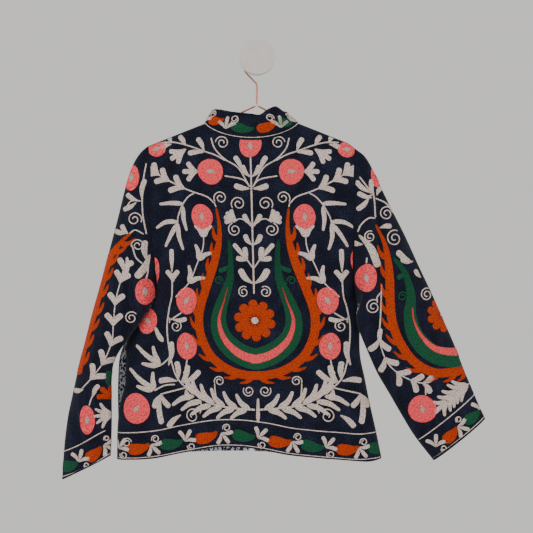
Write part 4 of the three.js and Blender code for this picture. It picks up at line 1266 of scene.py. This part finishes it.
# %% [markdown]
# ### Borders
# A border runs along every edge: a cream line, then a row of orange and green buds with small
# fans and spirals between them, and a cream cord at the very edge of the cloth. The border is
# drawn along a path, so that the same function serves the hem, the cuffs and the front edges.

# %% Borders
BORDER = 50  # from the edge to the cream line


def border(path, first, deep=BORDER, pitch=64, cord=3.4, curl_reach=7.5):
    """Edge cord, cream line and a row of buds, all measured to the left of the edge's path.
    The first bud's middle is a length of first from the path's start."""
    line = smooth_line(path, 2.0)
    run = run_along(line)
    along = unit(np.gradient(line, axis=0))
    side = to_the_left(along)
    made = [band("cream", line[::6] + cord * side[::6], 0.9)]
    made.append(band("cream", (line + deep * side)[::6], 1.15))
    for k, far in enumerate(np.arange(first - pitch, run[-1] + pitch, pitch)):
        i = np.searchsorted(run, far)
        if 12 < far < run[-1]:
            x, z = line[i] + 0.43 * deep * side[i]
            colour, lean = (("green", -5), ("orange", 8))[k % 2]
            made.append(bud(x, z, heading(along[i]) + lean, 0.68 * pitch, 10.5, colour))
        i = np.searchsorted(run, far + 0.5 * pitch)
        if 8 < far + 0.5 * pitch < run[-1] - 4:
            up, angle = (1, -1)[k % 2], heading(along[i])
            foot = line[i] + (0.46 - 0.06 * up) * deep * side[i] - 8 * along[i]
            made += fan(*foot, angle + 52 * up, 58, 3, 25, 3.9)
            curl = line[i] + (0.44 - 0.26 * up) * deep * side[i] + 2 * along[i]
            made.append(spiral(*curl, curl_reach, angle + 150 * up, 1.4, up))
    return made


def hem_path(panel, start, end):
    x = np.linspace(start, end, 12)
    return np.stack([x, read(HEM, "x", x, panel)], axis=1)


back_garden += border(hem_path("back", -258, 230), 41)
back_garden.append(spiral(-240, -714, 9, 0, 1.5))
back_pieces = sew("back", back_garden, on_panel("back"))

# %% [markdown]
# ## The sleeves' gardens
# Each sleeve hangs differently, so each has its own drawing. The flame band runs down the outer
# side and the leaves down the middle. The far side, which the photograph hides, carries the
# same garden again.

# %% Left sleeve
left_garden = flame([(-230, -326), (-252, -346), (-274, -376), (-290, -426), (-304, -480),
                     (-320, -532), (-332, -590)], 8.4, 9, 1, 31)
left_garden += sprig([(-322, -614), (-300, -590), (-279, -560), (-265, -524), (-262, -486),
                      (-258, -448), (-248, -408), (-244, -392)], 7, 32, 5.6, 36, False)
left_garden.append(leaf("cream", -247, -412, 78, 42, 4.8, -0.12, spear))
left_garden += seeded_disc(-233, -224, 15, 25, -14) + seeded_disc(-206, -435, 16.5, 25)
left_garden += seeded_disc(-312, -671, 14, 28, -6)
left_garden += stems([
    [(-206, -196), (-212, -240), (-211, -290), (-204, -330)],
    [(-214, -268), (-232, -268), (-242, -280)], [(-208, -330), (-224, -322), (-236, -330)],
    [(-200, -372), (-201, -398), (-204, -412)], [(-308, -645), (-303, -630), (-294, -618)],
    [(-229, -350), (-222, -372), (-210, -384)],
], 1.5)
left_garden += leaves([
    (-218, -268, 150, 28, 4.8), (-222, -270, 208, 30, 4.8), (-212, -268, 84, 42, 4.8),
    (-236, -330, 128, 24, 5), (-240, -328, 166, 26, 5), (-202, -380, 96, 40, 5.5),
    (-198, -366, 242, 50, 7), (-302, -628, 60, 26, 4.6), (-318, -614, 190, 22, 4.8),
], 0.08)
left_garden += fan(-268, -662, 184, 52, 5, 34, 4.2, shape=spear)
left_garden += fan(-268, -634, 128, 40, 3, 30, 5, "orange") + [leaf("green", -272, -612, 88, 32, 5)]
left_garden += spirals([
    (-226, -302, 14, -30, 1), (-219, -350, 12, 200, -1), (-230, -483, 12, 30, 1),
], 1.6)
left_garden += border([(-361, -783), (-331, -771), (-301, -757), (-272, -740), (-255, -732)], 78,
                      47, 54, 4.4, 5)
sleeve_left_pieces = sew("sleeve_left_room", left_garden, on_sleeve(-1, False))
sleeve_left_pieces += sew("sleeve_left_wall", left_garden, on_sleeve(-1, True), True)

# %% Right sleeve
right_garden = flame([(219, -311), (236, -350), (243, -400), (244, -450), (248, -490),
                      (262, -528), (288, -563), (326, -584), (372, -582), (398, -574)],
                     8.4, 11, -1, 31)
right_garden += [
    band("green", [(250, -372), (272, -400), (283, -440), (281, -480), (292, -518), (322, -548),
                   (366, -560), (404, -556)], 17, lambda t: 0.25 + 0.75 * ease(t / 0.7)),
    band("pink", [(285, -464), (289, -490), (303, -518), (328, -540), (366, -547), (398, -542)],
         8, lambda t: 0.15 + 0.85 * ease(t / 0.9), lift=1.9),
    leaf("green", 278, -406, 196, 22, 4.6, -0.15),
    spiral(267, -444, 9, 20, 1.4, 1, "green"),
]
right_garden += rosette(346, -478, 33, 10, 90, 95, 300)
right_garden += seeded_disc(224, -218, 13, 24, 20) + seeded_disc(201, -410, 19.5, 26, 4)
right_garden += seeded_disc(304, -651, 26, 26, 6)
right_garden += sprig([(226, -500), (226, -530), (240, -566), (264, -588), (290, -600),
                       (310, -604)], 5, 32, 5.6, 42, False)
right_garden += sprig([(398, -604), (372, -618), (346, -640)], 5, 36, 4.6, 40, shape=spear)
right_garden += stems([
    [(190, -222), (206, -244), (216, -256), (219, -300)], [(216, -256), (196, -262)],
    [(219, -300), (206, -300), (192, -312), (186, -326)], [(201, -384), (202, -372)],
    [(310, -604), (310, -626)], [(229, -420), (227, -470), (225, -504)],
    [(228, -436), (220, -446), (221, -456)], [(219, -262), (240, -272), (254, -290)],
], 1.6)
right_garden += leaves([
    (214, -254, 142, 40, 4.8), (216, -256, 96, 30, 5), (208, -260, 226, 34, 5),
    (214, -262, 160, 30, 4.8), (222, -258, 60, 22, 4.6), (188, -330, -60, 70, 7.6),
    (196, -348, 166, 22, 5), (228, -534, 92, 32, 4.6), (284, -378, 146, 32, 6),
    (290, -380, 170, 26, 5), (304, -410, 126, 20, 4.6), (226, -318, 8, 24, 4.8),
], 0.08)
right_garden += spirals([
    (240, -291, 14, 30, 1), (254, -337, 16, 60, 1), (208, -334, 11, 60, 1), (213, -463, 14, 60, 1),
    (314, -441, 12.5, 60, 1),
], 1.7)
right_garden += border([(328, -747), (360, -722), (392, -697), (423, -672), (440, -659)], 50,
                       48, 54, 4.4, 6)
sleeve_right_pieces = sew("sleeve_right_room", right_garden, on_sleeve(1, False))
sleeve_right_pieces += sew("sleeve_right_wall", right_garden, on_sleeve(1, True), True)

# %% [markdown]
# ## The collar and the fronts
# The collar has a narrow border of its own. The fronts face away from the photograph and can't be
# seen in it. They carry the back's half garden again, cut at the opening, with a border down
# both front edges, which is how such jackets are usually worked.

# %% Collar
collar_garden = stems([[(x, up) for x in (-222, -100, 0, 100, 222)] for up in (2.5, 60)], 1.1)
for along, up, angle, colour in ((-66, 20, 20, "orange"), (-15, 20, -8, "green"),
                                 (26, 22, 16, "orange"), (62, 19, -24, "green"),
                                 (-122, 15, 10, "green"), (118, 15, -10, "orange"),
                                 (-170, 17, 6, "orange"), (168, 17, -6, "green")):
    collar_garden.append(bud(along, up, angle, 38, 9, colour))
for along, up, angle in ((-40, 18, 100), (47, 18, 70), (-94, 12, 90), (90, 12, 90),
                         (-146, 12, 90), (143, 12, 90)):
    collar_garden += fan(along, up - 6, angle, 54, 3, 25, 3.8)
for along, up, start in ((-30, 34, 220), (36, 36, 320), (-80, 26, 0), (80, 26, 180)):
    collar_garden.append(spiral(along, up, 8, start, 1.5))
collar_pieces = sew("collar", collar_garden, on_collar)


# %% Fronts
FRONT_BORDER = 36


def front_garden(strokes, side):
    """Those motifs of the back's half that lie mostly past the border and below the neck."""
    kept = []
    for s in strokes:
        x, z = s["flat"].reshape(-1, 2).mean(0)
        if side * (x - CENTRE_X) > FRONT_BORDER and z < panel_top("front", x) - 12:
            kept.append(s)
    return kept


front_pieces = {}
for side, name in ((-1, "left"), (1, "right")):
    half = half_garden if side > 0 else mirrored(half_garden)
    garden = front_garden(shifted(half, lambda x, z: CENTRE_X), side)
    garden_place = on_panel("front", name, FRONT_BORDER + 3)
    front_pieces[name] = sew("front_" + name, garden, garden_place, True)
    edge = CENTRE_X + side * FRONT_GAP / 2
    down = np.linspace(-226, -734, 8)[::side]
    start, end = (-254, -52) if side < 0 else (32, 224)
    borders = border(np.stack([edge + 0 * down, down], axis=1), 40, FRONT_BORDER, 58)
    borders += border(hem_path("front", start, end), 40)
    front_pieces[name] += sew(f"border_{name}", borders, on_panel("front", name), True)

# %% [markdown]
# ## Stage
# A pale floor far below and soft light from the upper left, as in the photograph. The world is a
# pale grey, so that the dark cloth stands out as it does there.

# %% Stage
floor_mesh = bpy.data.meshes.new("floor")
floor_mesh.from_pydata([(-1.5, -1.5, -1.3), (1.5, -1.5, -1.3), (1.5, 1.5, -1.3), (-1.5, 1.5, -1.3)],
                       [], [(0, 1, 2, 3)])
floor_finish = Finish("pale_floor")
floor_mesh.materials.append(floor_finish.done(Base_Color=linear(226, 224, 220), Roughness=0.8))
floor = bpy.data.objects.new("floor", floor_mesh)
bpy.context.collection.objects.link(floor)

world = bpy.data.worlds.new("studio")
bpy.context.scene.world = world
world.use_nodes = True
world.node_tree.nodes["Background"].inputs["Color"].default_value = (0.75, 0.74, 0.72, 1)
world.node_tree.nodes["Background"].inputs["Strength"].default_value = 1.0


def soft_light(name, place, aim, size, watts):
    light = bpy.data.lights.new(name, "AREA")
    light.size, light.energy = size, watts
    lamp = bpy.data.objects.new(name, light)
    bpy.context.collection.objects.link(lamp)
    lamp.location = place
    direction = np.array(aim) - np.array(place)
    lamp.rotation_euler = (np.arccos(-direction[2] / np.linalg.norm(direction)), 0,
                           np.arctan2(direction[1], direction[0]) - np.pi / 2)


soft_light("window", (-1.6, -2.2, 1.0), (0, 0, -0.4), 1.2, 40)
soft_light("fill", (1.8, -1.8, 0.1), (0, 0, -0.4), 1.6, 14)
soft_light("from_behind", (0.4, 2.2, 0.6), (0, 0, -0.4), 1.8, 26)
print("stage set")
